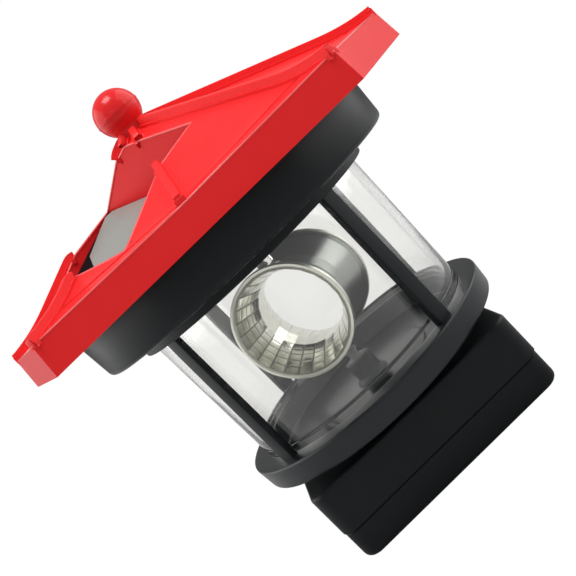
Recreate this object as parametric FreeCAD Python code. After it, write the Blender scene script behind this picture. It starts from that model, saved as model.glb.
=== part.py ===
import FreeCAD, Part
import math
import os

# Lantern head of a garden lighthouse ornament: a square base box with the drive,
# a round clear lantern room with a turning reflector, and a roof with a solar panel.
# Millimetres. The Z axis is the lamp's axis and z = 0 is the face that it stands on.

V = FreeCAD.Vector
UP = V(0, 0, 1)

# ---- driving dimensions ----
fit_gap = 0.05              # running fit of a shaft, each side
loose_gap = 0.15            # parts that only sit in each other, each side

# battery
battery_radius = 7.25
battery_length = 50.5
battery_y = -21.0
battery_shift = 2.2         # the battery sits off the middle, towards its stud

# base box: as high as the battery asks
box_width = 64.8
box_wall = 2.0
floor_thickness = 2.4
box_height = floor_thickness + 2 * battery_radius + 2.1 + box_wall
seam_height = 8.7
seam_step = 0.25            # the lower half is this much smaller all round
box_corner_radius = 4.5
box_bottom_bevel = 1.2
box_top_bevel = 0.8

# screws that hold the box together
screw_radius = 1.25
screw_head_radius = 2.5
screw_head_height = 1.6
screw_sink = 0.8            # head below the bottom face
screw_boss_radius = 3.0
screw_x = box_width / 2 - 5.4
screw_y_back = 26.8
screw_y_front = -8.2

# battery door and contacts
door_length = battery_length + 7.5
door_width = 2 * battery_radius + 2.5
door_margin = 1.0           # the door laps over its opening by this much
door_thickness = 1.2
door_tab_width = 9.0
door_tab_reach = 6.5
door_sink = 0.2             # door below the bottom face
door_seat = 0.7             # height at which the screw's head presses on the door
door_head_radius = 2.1
contact_thickness = 0.4
contact_height = 11.0

# motor and gears
gear_module = 0.5
pinion_teeth = 14
wheel_teeth = 42
pressure_angle = math.radians(20)
tooth_height_ratio = 0.80
tooth_root_ratio = 1.10
tooth_backlash = 0.08
wheel_thickness = 1.2
layer_gap = 0.2
idler_direction = 160.0     # from the lamp's axis
motor_direction = 70.0      # from the idler's pin
motor_radius = 10.0
pin_radius = 0.75
plate_bottom = box_height - 6.6
motor_height = plate_bottom - floor_thickness - 0.2
plate_thickness = 1.4
plate_box = (-23.5, 9.5, -14.6, 24.0)
plate_boss_radius = 2.5
plate_screw_radius = 0.9
plate_bosses = [(6.0, 15.5), (-20.6, 20.4), (-8.0, -11.7)]
motor_screw_circle = 6.0
motor_screw_spread = 55.0

# lantern base: a round tray that stands on the box on a short neck
tray_radius = 40.0
tray_bottom_radius = tray_radius - 0.6
tray_bottom = box_height + 2.4
tray_top = tray_bottom + 6.6
tray_floor = tray_bottom + 0.6
neck_radius = 30.0
pad_radius = 17.6
pad_height = 0.3
rim_inner_radius = 33.2

# drive shaft, hub and bush
shaft_radius = 1.5
bush_radius = 3.2
hub_radius = 3.9
hub_foot_radius = 5.0
hub_foot_height = 1.2
hub_top = tray_floor + 7.0
stem_radius = 1.4
stem_depth = 4.0

# clear tube with four slots for the posts
glass_foot_radius = rim_inner_radius + 1.5
glass_head_radius = glass_foot_radius + 0.8
glass_wall = 1.3
glass_lip_wall = 2.0
glass_lip_height = 2.4
glass_step = 0.5
groove_depth = 1.2
cage_bottom = tray_top
cage_height = 41.3
cage_top = cage_bottom + cage_height

# posts
post_count = 4
post_radius = glass_head_radius + 0.4
post_width = 4.7
post_depth = 2.2
tenon_radius = post_radius + 0.3
tenon_width = 2.4
tenon_depth = 1.0
tenon_length = 2.0
cage_turn = -8.6            # the posts' turn from the box's diagonals

# head ring: collar, ceiling and ring wall in one moulding
collar_radius = tenon_radius + 2.3
ring_bottom = cage_top + 2.86
ring_bottom_radius = 48.5
ring_shoulder_radius = ring_bottom_radius + 0.8
ring_neck_radius = ring_bottom_radius - 0.3
ring_top = ring_bottom + 13.84
ring_wall = 1.8
ring_edge_bevel = 1.0
ceiling_thickness = 1.8

# roof
roof_turn = -4.0
roof_bottom = ring_top - 2.7
eave_corner_height = roof_bottom + 8.6
eave_middle_height = roof_bottom + 7.8
roof_half_length = 66.2
roof_half_width = 51.0
roof_front_half = 45.6
fascia_draft = 0.0016       # the plan shrinks by this share for each mm of height
apex_height = roof_bottom + 30.9
corner_slope = 0.379
middle_slope = 0.476
corner_flare_start = 49.5
middle_flare_start = 45.5
eave_slope = 0.06
roof_wall = 2.0
rib_width = 2.4
rib_height = 2.1
rib_sink = 1.2
rib_inner_end = 3.0
crown_radius = 4.5
crown_height = apex_height + 0.8

# well for the solar panel, placed in the roof by the distance u from the lamp's axis
# along the well's direction and by the place v across it
well_direction = -135.0
well_corners = [(6.5, -24.3), (36.0, -24.1), (36.0, 19.6), (19.5, 19.8), (6.5, 24.3)]
well_wall = 1.4
pocket_corners = [(36.0, -24.1), (43.5, -24.0), (46.5, -6.0), (46.5, 4.0), (43.5, 19.5), (36.0, 19.6)]
pocket_floor = roof_bottom + 6.7
panel_height = roof_bottom + 20.6   # of the cell's face at panel_start
panel_start = (6.5, -24.0)
panel_slope = (0.30, 0.266)   # fall for each mm of u and of v

# solar panel
panel_thickness = 1.4
panel_margin = 0.3
cell_corners = [(8.8, -23.7), (22.9, -21.5), (27.5, -16.6), (28.0, -9.0), (27.0, -4.9), (7.2, -5.1),
                (7.2, -21.6)]
cell_thickness = 0.3

# roof screws
roof_boss_circle = rim_inner_radius - 4.7
roof_screw_seat = 0.8       # head sunk in the ceiling
roof_boss_radius = 3.2
roof_boss_angles = [-45.0, 45.0, 135.0]
roof_screw_length = 11.0

# finial
ball_radius = 6.4
ball_height = crown_height + 4.3
spigot_radius = 2.0
spigot_length = 5.0

# reflector: two open horns back to back, axis level
reflector_height = cage_bottom + 22.5
reflector_turn = -25.0      # front mouth turned towards -X
mouth_radius = 15.85
mouth_distance = 13.5
waist_radius = 11.5
waist_half = 2.6
reflector_wall = 1.1
mouth_lip = 0.8
mouth_lip_length = 1.2
facet_columns = 24
facet_rows = 4
lamp_hole_radius = 3.5
stem_top_radius = 3.4
stem_collar_radius = 2.0
stem_collar_height = hub_top + 2.6

# light emitting diode and its board
led_radius = 2.5
led_flange_radius = 2.9
led_flange_height = 1.0
led_tip = ring_bottom - 9.76
led_board_radius = 9.0
led_board_thickness = 1.2

# switch under the box
switch_x = -20.0
switch_y = -1.0
switch_length = 9.0
switch_width = 5.0
switch_height = 4.0
switch_travel = 3.0
knob_length = 3.0
knob_width = 2.0
knob_sink = 0.6

# circuit board in the box
board_x = 17.0
board_y = 12.0
board_length = 18.0
board_width = 15.0
board_thickness = 1.4
board_height = 6.0
board_post_radius = 1.8


# ---- small helpers ----
def cylinder(radius, bottom, top, x=0.0, y=0.0):
    return Part.makeCylinder(radius, top - bottom, V(x, y, bottom), UP)


def cone(radius_low, radius_high, bottom, top, x=0.0, y=0.0):
    return Part.makeCone(radius_low, radius_high, top - bottom, V(x, y, bottom), UP)


def block(length, width, bottom, top, x=0.0, y=0.0):
    corner = V(x - length / 2, y - width / 2, bottom)
    return Part.makeBox(length, width, top - bottom, corner)


def upright_edges(shape):
    found = []
    for edge in shape.Edges:
        points = edge.Vertexes
        if len(points) == 2 and abs(points[0].Z - points[1].Z) > 1e-6:
            if abs(points[0].X - points[1].X) + abs(points[0].Y - points[1].Y) < 1e-6:
                found.append(edge)
    return found


def level_edges(shape, height):
    return [edge for edge in shape.Edges
            if abs(edge.BoundBox.ZMin - height) < 1e-6 and abs(edge.BoundBox.ZMax - height) < 1e-6]


def round_box(width, bottom, top, corner):
    box = block(width, width, bottom, top)
    return box.makeFillet(corner, upright_edges(box))


def turned(profile):
    points = [V(radius, 0, height) for radius, height in profile]
    face = Part.Face(Part.makePolygon(points + [points[0]]))
    return face.revolve(V(0, 0, 0), UP, 360)


def spin(shape, angle):
    copy = shape.copy()
    copy.rotate(V(0, 0, 0), UP, angle)
    return copy


def prism(outline, height_at, rise):
    points = [V(x, y, height_at(x, y)) for x, y in outline]
    face = Part.Face(Part.makePolygon(points + [points[0]]))
    return face.extrude(V(0, 0, rise))


def one_solid(shape):
    return shape.removeSplitter().Solids[0]


# ---- base box ----
inner_width = box_width - 2 * box_wall
screw_places = [(side * screw_x, y) for side in (-1, 1) for y in (screw_y_back, screw_y_front)]
battery_height = floor_thickness + 0.2 + battery_radius
contact_x = inner_width / 2 - contact_thickness
housing_ceiling = box_height - box_wall


def bottom_cover():
    width = box_width - 2 * seam_step
    shell = round_box(width, 0, seam_height, box_corner_radius - seam_step)
    shell = shell.makeChamfer(box_bottom_bevel, level_edges(shell, 0))
    hollow = round_box(inner_width, floor_thickness, seam_height, box_corner_radius - box_wall)
    shell = shell.cut(hollow)
    for x, y in screw_places:
        shell = shell.fuse(cylinder(screw_boss_radius, 1, seam_height, x, y))
        shell = shell.cut(cylinder(screw_radius + loose_gap, 0, seam_height, x, y))
        seat = screw_sink + screw_head_height
        shell = shell.cut(cylinder(screw_head_radius + loose_gap, 0, seat, x, y))
    shell = shell.fuse(battery_saddles()).fuse(board_posts())
    shell = shell.fuse(cylinder(screw_boss_radius, 1, seam_height - 1, *door_screw_place()))
    shell = shell.cut(door_outline(0, door_thickness, loose_gap))
    shell = shell.cut(block(door_length - 2 * door_margin, door_width - 2 * door_margin, 0, floor_thickness,
                            0, battery_y))
    shell = shell.cut(cylinder(screw_radius + 0.02, 0, seam_height - 2, *door_screw_place()))
    window = block(knob_length + switch_travel + 1.0, knob_width + 0.6, 0, floor_thickness,
                   switch_x + switch_travel / 2, switch_y)
    return one_solid(shell.cut(window))


def battery_saddles():
    ribs = []
    room = block(box_width, door_width - 2 * door_margin, 0, box_height, 0, battery_y)
    walls = block(box_width, inner_width - 2 * loose_gap, 0, box_height)
    for x in (-17.0, 17.0):
        rib = block(1.6, door_width, floor_thickness - 0.4, battery_height - 1.0, x, battery_y)
        ribs.append(rib.cut(room).common(walls))
    return ribs[0].fuse(ribs[1:])


def along_x(radius, length, y, z):
    return Part.makeCylinder(radius, length, V(-length / 2, y, z), V(1, 0, 0))


def board_posts():
    spots = [(board_x + side * board_length / 3, board_y) for side in (-1, 1)]
    posts = [cylinder(board_post_radius, floor_thickness - 0.4, board_height, x, y) for x, y in spots]
    return posts[0].fuse(posts[1:])


def door_screw_place():
    return 0.0, battery_y + door_width / 2 + door_tab_reach / 2


def door_outline(bottom, top, gap):
    panel = block(door_length + 2 * gap, door_width + 2 * gap, bottom, top, 0, battery_y)
    tab = block(door_tab_width + 2 * gap, door_tab_reach + gap, bottom, top,
                0, battery_y + door_width / 2 + (door_tab_reach + gap) / 2)
    return panel.fuse(tab).removeSplitter()


def battery_door():
    door = door_outline(door_sink, door_thickness, 0)
    head = cylinder(door_head_radius + loose_gap, 0, door_seat, *door_screw_place())
    shank = cylinder(screw_radius + loose_gap, 0, door_thickness, *door_screw_place())
    grips = [block(1.2, 8, 0, 0.5, x, battery_y) for x in (-23, -20, -17)]
    return one_solid(door.cut(head).cut(shank).cut(grips))


def door_screw():
    head = cylinder(door_head_radius, door_sink, door_seat, *door_screw_place())
    slot = block(2 * door_head_radius + 1, 0.6, 0, door_sink + 0.2, *door_screw_place())
    return one_solid(head.cut(slot).fuse(cylinder(screw_radius, door_seat, 6.0, *door_screw_place())))


def cover_screws():
    screws = []
    for x, y in screw_places:
        head_top = screw_sink + screw_head_height
        head = cylinder(screw_head_radius, screw_sink, head_top, x, y)
        cross = block(2.8, 0.7, screw_sink, screw_sink + 0.6, x, y)
        cross = cross.fuse(block(0.7, 2.8, screw_sink, screw_sink + 0.6, x, y))
        shank = cylinder(screw_radius, head_top, box_height - 6.0, x, y)
        screws.append(one_solid(head.cut(cross).fuse(shank)))
    return Part.makeCompound(screws)


def base_housing():
    shell = round_box(box_width, seam_height, box_height, box_corner_radius)
    shell = shell.makeChamfer(box_top_bevel, level_edges(shell, box_height))
    hollow = round_box(inner_width, seam_height, housing_ceiling, box_corner_radius - box_wall)
    shell = shell.cut(hollow)
    for x, y in screw_places:
        shell = shell.fuse(cylinder(screw_boss_radius, seam_height, housing_ceiling, x, y))
        shell = shell.cut(cylinder(screw_radius + 0.02, seam_height, box_height - 5.0, x, y))
    plate_top = plate_bottom + plate_thickness
    for x, y in plate_bosses:
        shell = shell.fuse(cylinder(plate_boss_radius, plate_top, housing_ceiling, x, y))
        shell = shell.cut(cylinder(plate_screw_radius + 0.02, plate_top, housing_ceiling, x, y))
    shell = shell.cut(cylinder(shaft_radius + 0.6, housing_ceiling, box_height))
    shell = shell.cut(cylinder(pin_radius, housing_ceiling - 0.1, housing_ceiling + 1.0, *idler_place()))
    return one_solid(shell)


def battery():
    stud = 1.0
    case = along_x(battery_radius, battery_length - stud, battery_y, battery_height)
    case.translate(V(battery_shift - stud / 2, 0, 0))
    nub = Part.makeCylinder(2.7, stud, V(battery_end() - stud, battery_y, battery_height), V(1, 0, 0))
    return one_solid(case.fuse(nub))


def battery_end():
    return battery_shift + battery_length / 2


def battery_contact():
    plate = block(contact_thickness, contact_height, 4.0, 4.0 + contact_height,
                  contact_x + contact_thickness / 2, battery_y)
    reach = contact_x - battery_end()
    dimple = Part.makeCone(3.4, 2.4, reach, V(contact_x, battery_y, battery_height), V(-1, 0, 0))
    return one_solid(plate.fuse(dimple))


def spring_contact():
    wall = -inner_width / 2
    tip = battery_end() - battery_length
    half = contact_height / 2
    thick = contact_thickness
    outline = [(wall, -half), (wall + thick, -half), (tip, -1.0), (tip, 1.0),
               (wall + 2 * thick, half), (wall, half), (wall, half - thick),
               (wall + thick, half - thick), (tip - thick, 1.0), (tip - thick, -1.0),
               (wall + thick, 2 * thick - half), (wall + thick, half - 2 * thick), (wall, half - 2 * thick)]
    points = [V(x, battery_y + y, 4.0) for x, y in outline]
    leaf = Part.Face(Part.makePolygon(points + [points[0]]))
    return leaf.extrude(V(0, 0, contact_height))


# ---- motor and gears ----
def wheel_spacing():
    return gear_module * (pinion_teeth + wheel_teeth) / 2


def idler_place():
    turn = math.radians(idler_direction)
    return wheel_spacing() * math.cos(turn), wheel_spacing() * math.sin(turn)


def motor_place(distance=0.0, swing=0.0):
    turn = math.radians(motor_direction)
    far = math.radians(motor_direction + swing)
    x, y = idler_place()
    return (x + wheel_spacing() * math.cos(turn) + distance * math.cos(far),
            y + wheel_spacing() * math.sin(turn) + distance * math.sin(far))


def tooth_points(teeth):
    pitch = gear_module * teeth / 2
    base = pitch * math.cos(pressure_angle)
    tip = pitch + tooth_height_ratio * gear_module
    root = pitch - tooth_root_ratio * gear_module
    half_at_pitch = math.pi / (2 * teeth) - tooth_backlash / (2 * pitch)
    involute = math.tan(pressure_angle) - pressure_angle
    flank = []
    for step in range(3):
        start = max(base, root)
        radius = start + (tip - start) * step / 2
        angle = math.acos(min(1.0, base / radius))
        flank.append((radius, half_at_pitch + involute - (math.tan(angle) - angle)))
    return [(root, flank[0][1])] + flank if root < base else flank


def gear(teeth, bottom, top, centre, phase):
    rising = tooth_points(teeth)
    points = []
    for tooth in range(teeth):
        middle = phase + 2 * math.pi * tooth / teeth
        side = [(radius, middle - half) for radius, half in rising]
        side += [(radius, middle + half) for radius, half in reversed(rising)]
        points += [V(centre[0] + radius * math.cos(angle), centre[1] + radius * math.sin(angle), bottom)
                   for radius, angle in side]
    face = Part.Face(Part.makePolygon(points + [points[0]]))
    return face.extrude(V(0, 0, top - bottom))


def lower_layer():
    return plate_bottom + plate_thickness + layer_gap


def upper_layer():
    return lower_layer() + wheel_thickness + layer_gap


def facing_gap(direction, teeth):
    return math.radians(direction) + math.pi / teeth


def output_gear():
    bottom = upper_layer()
    wheel = gear(wheel_teeth, bottom, bottom + wheel_thickness, (0, 0), math.radians(idler_direction))
    boss_radius = wheel_spacing() - gear_module * wheel_teeth / 2 - 0.9
    boss = cylinder(boss_radius, lower_layer() - 0.1, bottom + wheel_thickness)
    return one_solid(wheel.fuse(boss).cut(cylinder(shaft_radius, 0, box_height)))


def idler_gear():
    centre = idler_place()
    bottom = lower_layer()
    top = upper_layer() + wheel_thickness
    large = gear(wheel_teeth, bottom, bottom + wheel_thickness, centre, math.radians(motor_direction))
    small = gear(pinion_teeth, bottom + wheel_thickness, top, centre,
                 facing_gap(idler_direction + 180, pinion_teeth))
    bore = cylinder(pin_radius + fit_gap, 0, box_height, *centre)
    return one_solid(large.fuse(small).cut(bore))


def idler_pin():
    return cylinder(pin_radius, plate_bottom, housing_ceiling + 1.0, *idler_place())


def motor_pinion():
    bottom = lower_layer()
    centre = motor_place()
    pinion = gear(pinion_teeth, bottom, bottom + wheel_thickness, centre,
                  facing_gap(motor_direction + 180, pinion_teeth))
    return one_solid(pinion.fuse(cylinder(pin_radius, plate_bottom - 1.0, bottom, *centre)))


def motor_screw_places():
    return [motor_place(motor_screw_circle, side * motor_screw_spread) for side in (-1, 1)]


def motor():
    bottom = plate_bottom - motor_height
    can = cylinder(motor_radius, bottom, plate_bottom, *motor_place())
    can = can.makeChamfer(0.6, level_edges(can, bottom))
    can = can.cut(cylinder(pin_radius + fit_gap, plate_bottom - 1.2, plate_bottom, *motor_place()))
    for x, y in motor_screw_places():
        can = can.cut(cylinder(plate_screw_radius, plate_bottom - 2.0, plate_bottom, x, y))
    return one_solid(can)


def gear_plate():
    plate_top = plate_bottom + plate_thickness
    left, right, front, back = plate_box
    plate = Part.makeBox(right - left, back - front, plate_thickness, V(left, front, plate_bottom))
    plate = plate.makeChamfer(2.5, upright_edges(plate))
    plate = plate.cut(cylinder(pin_radius + 0.6, plate_bottom, plate_top, *motor_place()))
    plate = plate.cut(cylinder(shaft_radius + fit_gap, plate_bottom, plate_top))
    plate = plate.cut(cylinder(pin_radius, plate_bottom, plate_top, *idler_place()))
    for x, y in plate_bosses + motor_screw_places():
        plate = plate.cut(cylinder(plate_screw_radius + 0.1, plate_bottom, plate_top, x, y))
    return one_solid(plate)


def plate_screws():
    screws = []
    for x, y in plate_bosses:
        head = cylinder(1.9, plate_bottom - 1.2, plate_bottom, x, y)
        shank = cylinder(plate_screw_radius, plate_bottom, housing_ceiling - 0.3, x, y)
        screws.append(one_solid(head.fuse(shank)))
    return Part.makeCompound(screws)


def motor_screws():
    screws = []
    top = plate_bottom + plate_thickness
    for x, y in motor_screw_places():
        head = cylinder(1.5, top, top + 0.8, x, y)
        screws.append(one_solid(head.fuse(cylinder(plate_screw_radius, plate_bottom - 2.0, top, x, y))))
    return Part.makeCompound(screws)


# ---- circuit board and switch ----
def circuit_board():
    top = board_height + board_thickness
    board = block(board_length, board_width, board_height, top, board_x, board_y)
    chip = block(5.0, 4.0, top, top + 1.5, board_x - 4, board_y - 1)
    coil = cylinder(2.4, top, top + 4.0, board_x + 4, board_y + 3)
    pad = block(3.0, 1.6, top, top + 0.8, board_x + 3, board_y - 4)
    return one_solid(board.fuse([chip, coil, pad]))


def switch_body():
    top = floor_thickness + switch_height
    body = block(switch_length, switch_width, floor_thickness, top, switch_x + switch_travel / 2, switch_y)
    channel = block(knob_length + switch_travel + 0.6, knob_width + 0.4, floor_thickness,
                    floor_thickness + 2.0, switch_x + switch_travel / 2, switch_y)
    return one_solid(body.cut(channel))


def switch_knob():
    knob = block(knob_length, knob_width, knob_sink, floor_thickness + 1.8, switch_x, switch_y)
    grooves = [block(0.4, knob_width, knob_sink, knob_sink + 0.3, switch_x + shift, switch_y)
               for shift in (-0.8, 0, 0.8)]
    return one_solid(knob.cut(grooves))


# ---- lantern room ----
def glass_outer_radius(height):
    share = (height - cage_bottom) / (cage_top - cage_bottom)
    return glass_foot_radius + (glass_head_radius - glass_foot_radius) * share


def post_box(radius, depth, width, bottom, top, angle):
    return spin(block(depth, width, bottom, top, radius, 0), angle)


def post_angles():
    return [45.0 + cage_turn + 360.0 * number / post_count for number in range(post_count)]


def tenon_cutters():
    gap = fit_gap
    return [post_box(tenon_radius, tenon_depth + 2 * gap, tenon_width + 2 * gap, low, high, angle)
            for angle in post_angles()
            for low, high in ((cage_bottom - tenon_length - gap, cage_bottom),
                              (cage_top, cage_top + tenon_length + gap))]


def lantern_base():
    profile = [(0, box_height), (neck_radius, box_height), (neck_radius, tray_bottom),
               (tray_bottom_radius - 1, tray_bottom), (tray_bottom_radius, tray_bottom + 0.8),
               (tray_radius, tray_top - 0.6), (tray_radius - 0.5, tray_top), (rim_inner_radius, tray_top),
               (rim_inner_radius, tray_floor), (pad_radius, tray_floor),
               (pad_radius - 0.4, tray_floor + pad_height), (0, tray_floor + pad_height)]
    tray = turned(profile)
    groove_inner = glass_foot_radius - glass_lip_wall - 0.1
    groove_outer = glass_foot_radius + 0.1
    groove = cylinder(groove_outer, tray_top - groove_depth, tray_top)
    groove = groove.cut(cylinder(groove_inner, tray_top - groove_depth, tray_top))
    tray = tray.cut(groove)
    tray = tray.cut(cylinder(bush_radius, box_height, tray_top)).cut(tenon_cutters())
    return one_solid(tray)


def shaft_bush():
    top = tray_floor + pad_height + 0.2
    return cylinder(bush_radius, box_height, top).cut(cylinder(shaft_radius + fit_gap, box_height, top))


def drive_hub():
    foot = tray_floor + pad_height + 0.25
    shaft = cylinder(shaft_radius, plate_bottom + 0.2, foot)
    base = cone(hub_foot_radius, hub_radius, foot, foot + hub_foot_height)
    body = cylinder(hub_radius, foot + hub_foot_height, hub_top)
    body = body.makeChamfer(0.6, level_edges(body, hub_top))
    hub = shaft.fuse([base, body])
    return one_solid(hub.cut(cylinder(stem_radius, hub_top - stem_depth, hub_top)))


def glass_tube():
    foot = tray_top - groove_depth
    head = cage_top + groove_depth
    lip_top = tray_top + glass_lip_height
    head_inner = glass_head_radius - glass_wall
    profile = [(glass_foot_radius - glass_lip_wall, foot), (glass_foot_radius, foot),
               (glass_foot_radius, tray_top), (glass_head_radius, cage_top),
               (glass_head_radius - glass_step, cage_top), (glass_head_radius - glass_step, head),
               (head_inner, head), (head_inner, cage_top),
               (glass_outer_radius(lip_top) - glass_wall, lip_top),
               (glass_foot_radius - glass_lip_wall, lip_top - 0.6)]
    gap = 0.1
    grooves = [post_box(post_radius, post_depth + 2 * gap, post_width + 2 * gap, tray_top, cage_top, angle)
               for angle in post_angles()]
    return one_solid(turned(profile).cut(grooves))


def post(angle):
    bar = block(post_depth, post_width, cage_bottom, cage_top, post_radius, 0)
    bar = bar.makeChamfer(0.4, upright_edges(bar))
    tenons = [block(tenon_depth, tenon_width, low, high, tenon_radius, 0)
              for low, high in ((cage_bottom - tenon_length, cage_bottom), (cage_top, cage_top + tenon_length))]
    return one_solid(spin(bar.fuse(tenons), angle))


# ---- head ring, lamp and board ----
def head_ring():
    ceiling_top = ring_bottom + ceiling_thickness
    outer = [(0, ring_bottom), (rim_inner_radius, ring_bottom), (rim_inner_radius, cage_top),
             (collar_radius, cage_top), (collar_radius, ring_bottom),
             (ring_bottom_radius - ring_edge_bevel, ring_bottom),
             (ring_bottom_radius, ring_bottom + ring_edge_bevel),
             (ring_shoulder_radius, roof_bottom), (ring_neck_radius, roof_bottom),
             (ring_neck_radius, ring_top), (ring_neck_radius - ring_wall, ring_top),
             (ring_bottom_radius - ring_wall, ceiling_top), (0, ceiling_top)]
    ring = turned(outer)
    groove = cylinder(glass_head_radius - glass_step + 0.1, cage_top, cage_top + groove_depth + 0.1)
    groove = groove.cut(cylinder(glass_head_radius - glass_wall - 0.1, cage_top, cage_top + groove_depth + 0.1))
    ring = ring.cut(groove).cut(tenon_cutters())
    ring = ring.cut(cylinder(led_radius + 0.1, ring_bottom, ceiling_top))
    for angle in roof_boss_angles:
        x, y = roof_boss_place(angle)
        ring = ring.cut(cylinder(screw_radius + loose_gap, ring_bottom, ceiling_top, x, y))
        seat = ring_bottom + roof_screw_seat
        ring = ring.cut(cylinder(screw_head_radius + loose_gap, ring_bottom, seat, x, y))
    return one_solid(ring)


def roof_boss_place(angle):
    turn = math.radians(angle + roof_turn)
    return roof_boss_circle * math.cos(turn), roof_boss_circle * math.sin(turn)


def roof_screws():
    screws = []
    for angle in roof_boss_angles:
        x, y = roof_boss_place(angle)
        seat = ring_bottom + roof_screw_seat
        head = cylinder(screw_head_radius, ring_bottom, seat, x, y)
        slot = block(3.4, 0.7, ring_bottom, ring_bottom + 0.4, x, y)
        shank = cylinder(screw_radius, seat, ring_bottom + roof_screw_length, x, y)
        screws.append(one_solid(head.cut(slot).fuse(shank)))
    return Part.makeCompound(screws)


def led():
    seat = ring_bottom + ceiling_thickness
    dome_centre = led_tip + led_radius
    body = cylinder(led_radius, dome_centre, seat)
    dome = Part.makeSphere(led_radius, V(0, 0, dome_centre))
    flange = cylinder(led_flange_radius, seat, seat + led_flange_height)
    return one_solid(body.fuse([dome, flange]))


def led_board():
    bottom = ring_bottom + ceiling_thickness + led_flange_height
    top = bottom + led_board_thickness
    board = cylinder(led_board_radius, bottom, top)
    chip = block(2.4, 1.4, top, top + 0.8, 4, 2)
    return one_solid(board.fuse(chip))


# ---- reflector ----
def inner_profile():
    mouth_inner = mouth_radius - reflector_wall
    rows = []
    for row in range(facet_rows + 1):
        share = row / facet_rows
        distance = waist_half + (mouth_distance - waist_half) * share
        rows.append((distance, waist_radius + (mouth_inner - waist_radius) * share ** 1.35))
    return rows


def facet_ring(radius, distance, turn):
    points = []
    for column in range(facet_columns):
        angle = 2 * math.pi * (column + turn) / facet_columns
        points.append(V(radius * math.cos(angle), -distance, radius * math.sin(angle)))
    return points


def faceted_bore():
    rows = inner_profile()
    stations = [(-distance, radius) for distance, radius in reversed(rows)] + rows
    rings = [facet_ring(radius, distance, 0.5) for distance, radius in stations]
    faces = []
    for near, far in zip(rings, rings[1:]):
        for column in range(facet_columns):
            after = (column + 1) % facet_columns
            corners = [near[column], near[after], far[after], far[column]]
            faces.append(Part.Face(Part.makePolygon(corners + [corners[0]])))
    for ring in (rings[0], rings[-1]):
        faces.append(Part.Face(Part.makePolygon(ring + [ring[0]])))
    shell = Part.makeShell(faces)
    shell.sewShape()
    bore = Part.makeSolid(shell)
    if bore.Volume < 0:
        bore.reverse()
    return bore


def horn_shell():
    outer = [(0, 0)]
    outer.append((waist_radius + reflector_wall, 0))
    for distance, radius in inner_profile():
        outer.append((radius + reflector_wall, distance))
    lip = mouth_radius + mouth_lip * 0.5
    outer[-1] = (mouth_radius, mouth_distance - mouth_lip_length)
    outer += [(lip, mouth_distance - mouth_lip_length), (lip, mouth_distance), (0, mouth_distance)]
    half = turned(outer)
    other = half.mirror(V(0, 0, 0), UP)
    body = half.fuse(other).removeSplitter()
    body.rotate(V(0, 0, 0), V(1, 0, 0), 90)
    return body


def reflector():
    body = horn_shell().cut(faceted_bore())
    body = body.cut(cylinder(lamp_hole_radius, 0, mouth_radius * 2))
    body.rotate(V(0, 0, 0), UP, reflector_turn)
    body.translate(V(0, 0, reflector_height))
    waist_bottom = reflector_height - waist_radius - reflector_wall
    stem = cylinder(stem_radius, hub_top - stem_depth, waist_bottom + 0.6)
    spread = cone(stem_radius, stem_top_radius, stem_collar_height + 1.0, waist_bottom + 0.4)
    collar = cylinder(stem_collar_radius, stem_collar_height - 0.4, stem_collar_height + 0.4)
    return one_solid(body.fuse([stem, spread, collar]))


# ---- roof ----
def plan_scale(height):
    return 1 - fascia_draft * (height - roof_bottom)


def roof_points():
    corners = [(roof_half_length, 0), (roof_front_half, roof_half_width), (0, roof_half_width),
               (-roof_front_half, roof_half_width), (-roof_half_length, 0),
               (-roof_front_half, -roof_half_width), (0, -roof_half_width),
               (roof_front_half, -roof_half_width)]
    return corners


def is_middle(number):
    return number in (2, 6)


class RibLine:
    """The roof surface along one rib: straight from the apex, then a flare to the eave."""

    def __init__(self, number, inset, drop):
        x, y = roof_points()[number]
        middle = is_middle(number)
        eave = eave_middle_height if middle else eave_corner_height
        reach = math.hypot(x, y) * plan_scale(eave - drop) * inset
        slope = middle_slope if middle else corner_slope
        start = (middle_flare_start if middle else corner_flare_start) * inset
        self.direction = V(x, y, 0).normalize()
        self.slope = slope
        self.drop = drop
        self.start = start
        self.reach = reach
        self.eave = eave - drop
        self.apex = apex_height - drop
        self.bend = (self.apex - self.eave - eave_slope * reach) / (slope - eave_slope)

    def at(self, radius, height):
        return V(self.direction.x * radius, self.direction.y * radius, height)

    def top(self):
        return V(0, 0, self.apex)

    def kink(self, rise=0.0):
        return self.at(self.start, self.apex - self.slope * self.start + rise)

    def flare_point(self, rise=0.0):
        return self.at(self.bend, self.apex - self.slope * self.bend + rise)

    def eave_point(self, rise=0.0):
        return self.at(self.reach, self.eave + rise)

    def flare(self, rise=0.0):
        curve = Part.BezierCurve()
        curve.setPoles([self.kink(rise), self.flare_point(rise), self.eave_point(rise)])
        return curve.toShape()


def roof_body(inset, drop, bottom):
    lines = [RibLine(number, inset, drop) for number in range(8)]
    share = inset * plan_scale(bottom)
    feet = [V(x * share, y * share, bottom) for x, y in roof_points()]
    faces = []
    for number, line in enumerate(lines):
        after = lines[(number + 1) % 8]
        foot, next_foot = feet[number], feet[(number + 1) % 8]
        triangle = [line.top(), line.kink(), after.kink()]
        faces.append(Part.Face(Part.makePolygon(triangle + [triangle[0]])))
        faces.append(Part.makeRuledSurface(line.flare(), after.flare()))
        fascia = [line.eave_point(), foot, next_foot, after.eave_point()]
        faces.append(Part.Face(Part.makePolygon(fascia + [fascia[0]])))
    faces.append(Part.Face(Part.makePolygon(feet + [feet[0]])))
    shell = Part.makeShell(faces)
    shell.sewShape()
    solid = Part.makeSolid(shell)
    if solid.Volume < 0:
        solid.reverse()
    return solid


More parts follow.
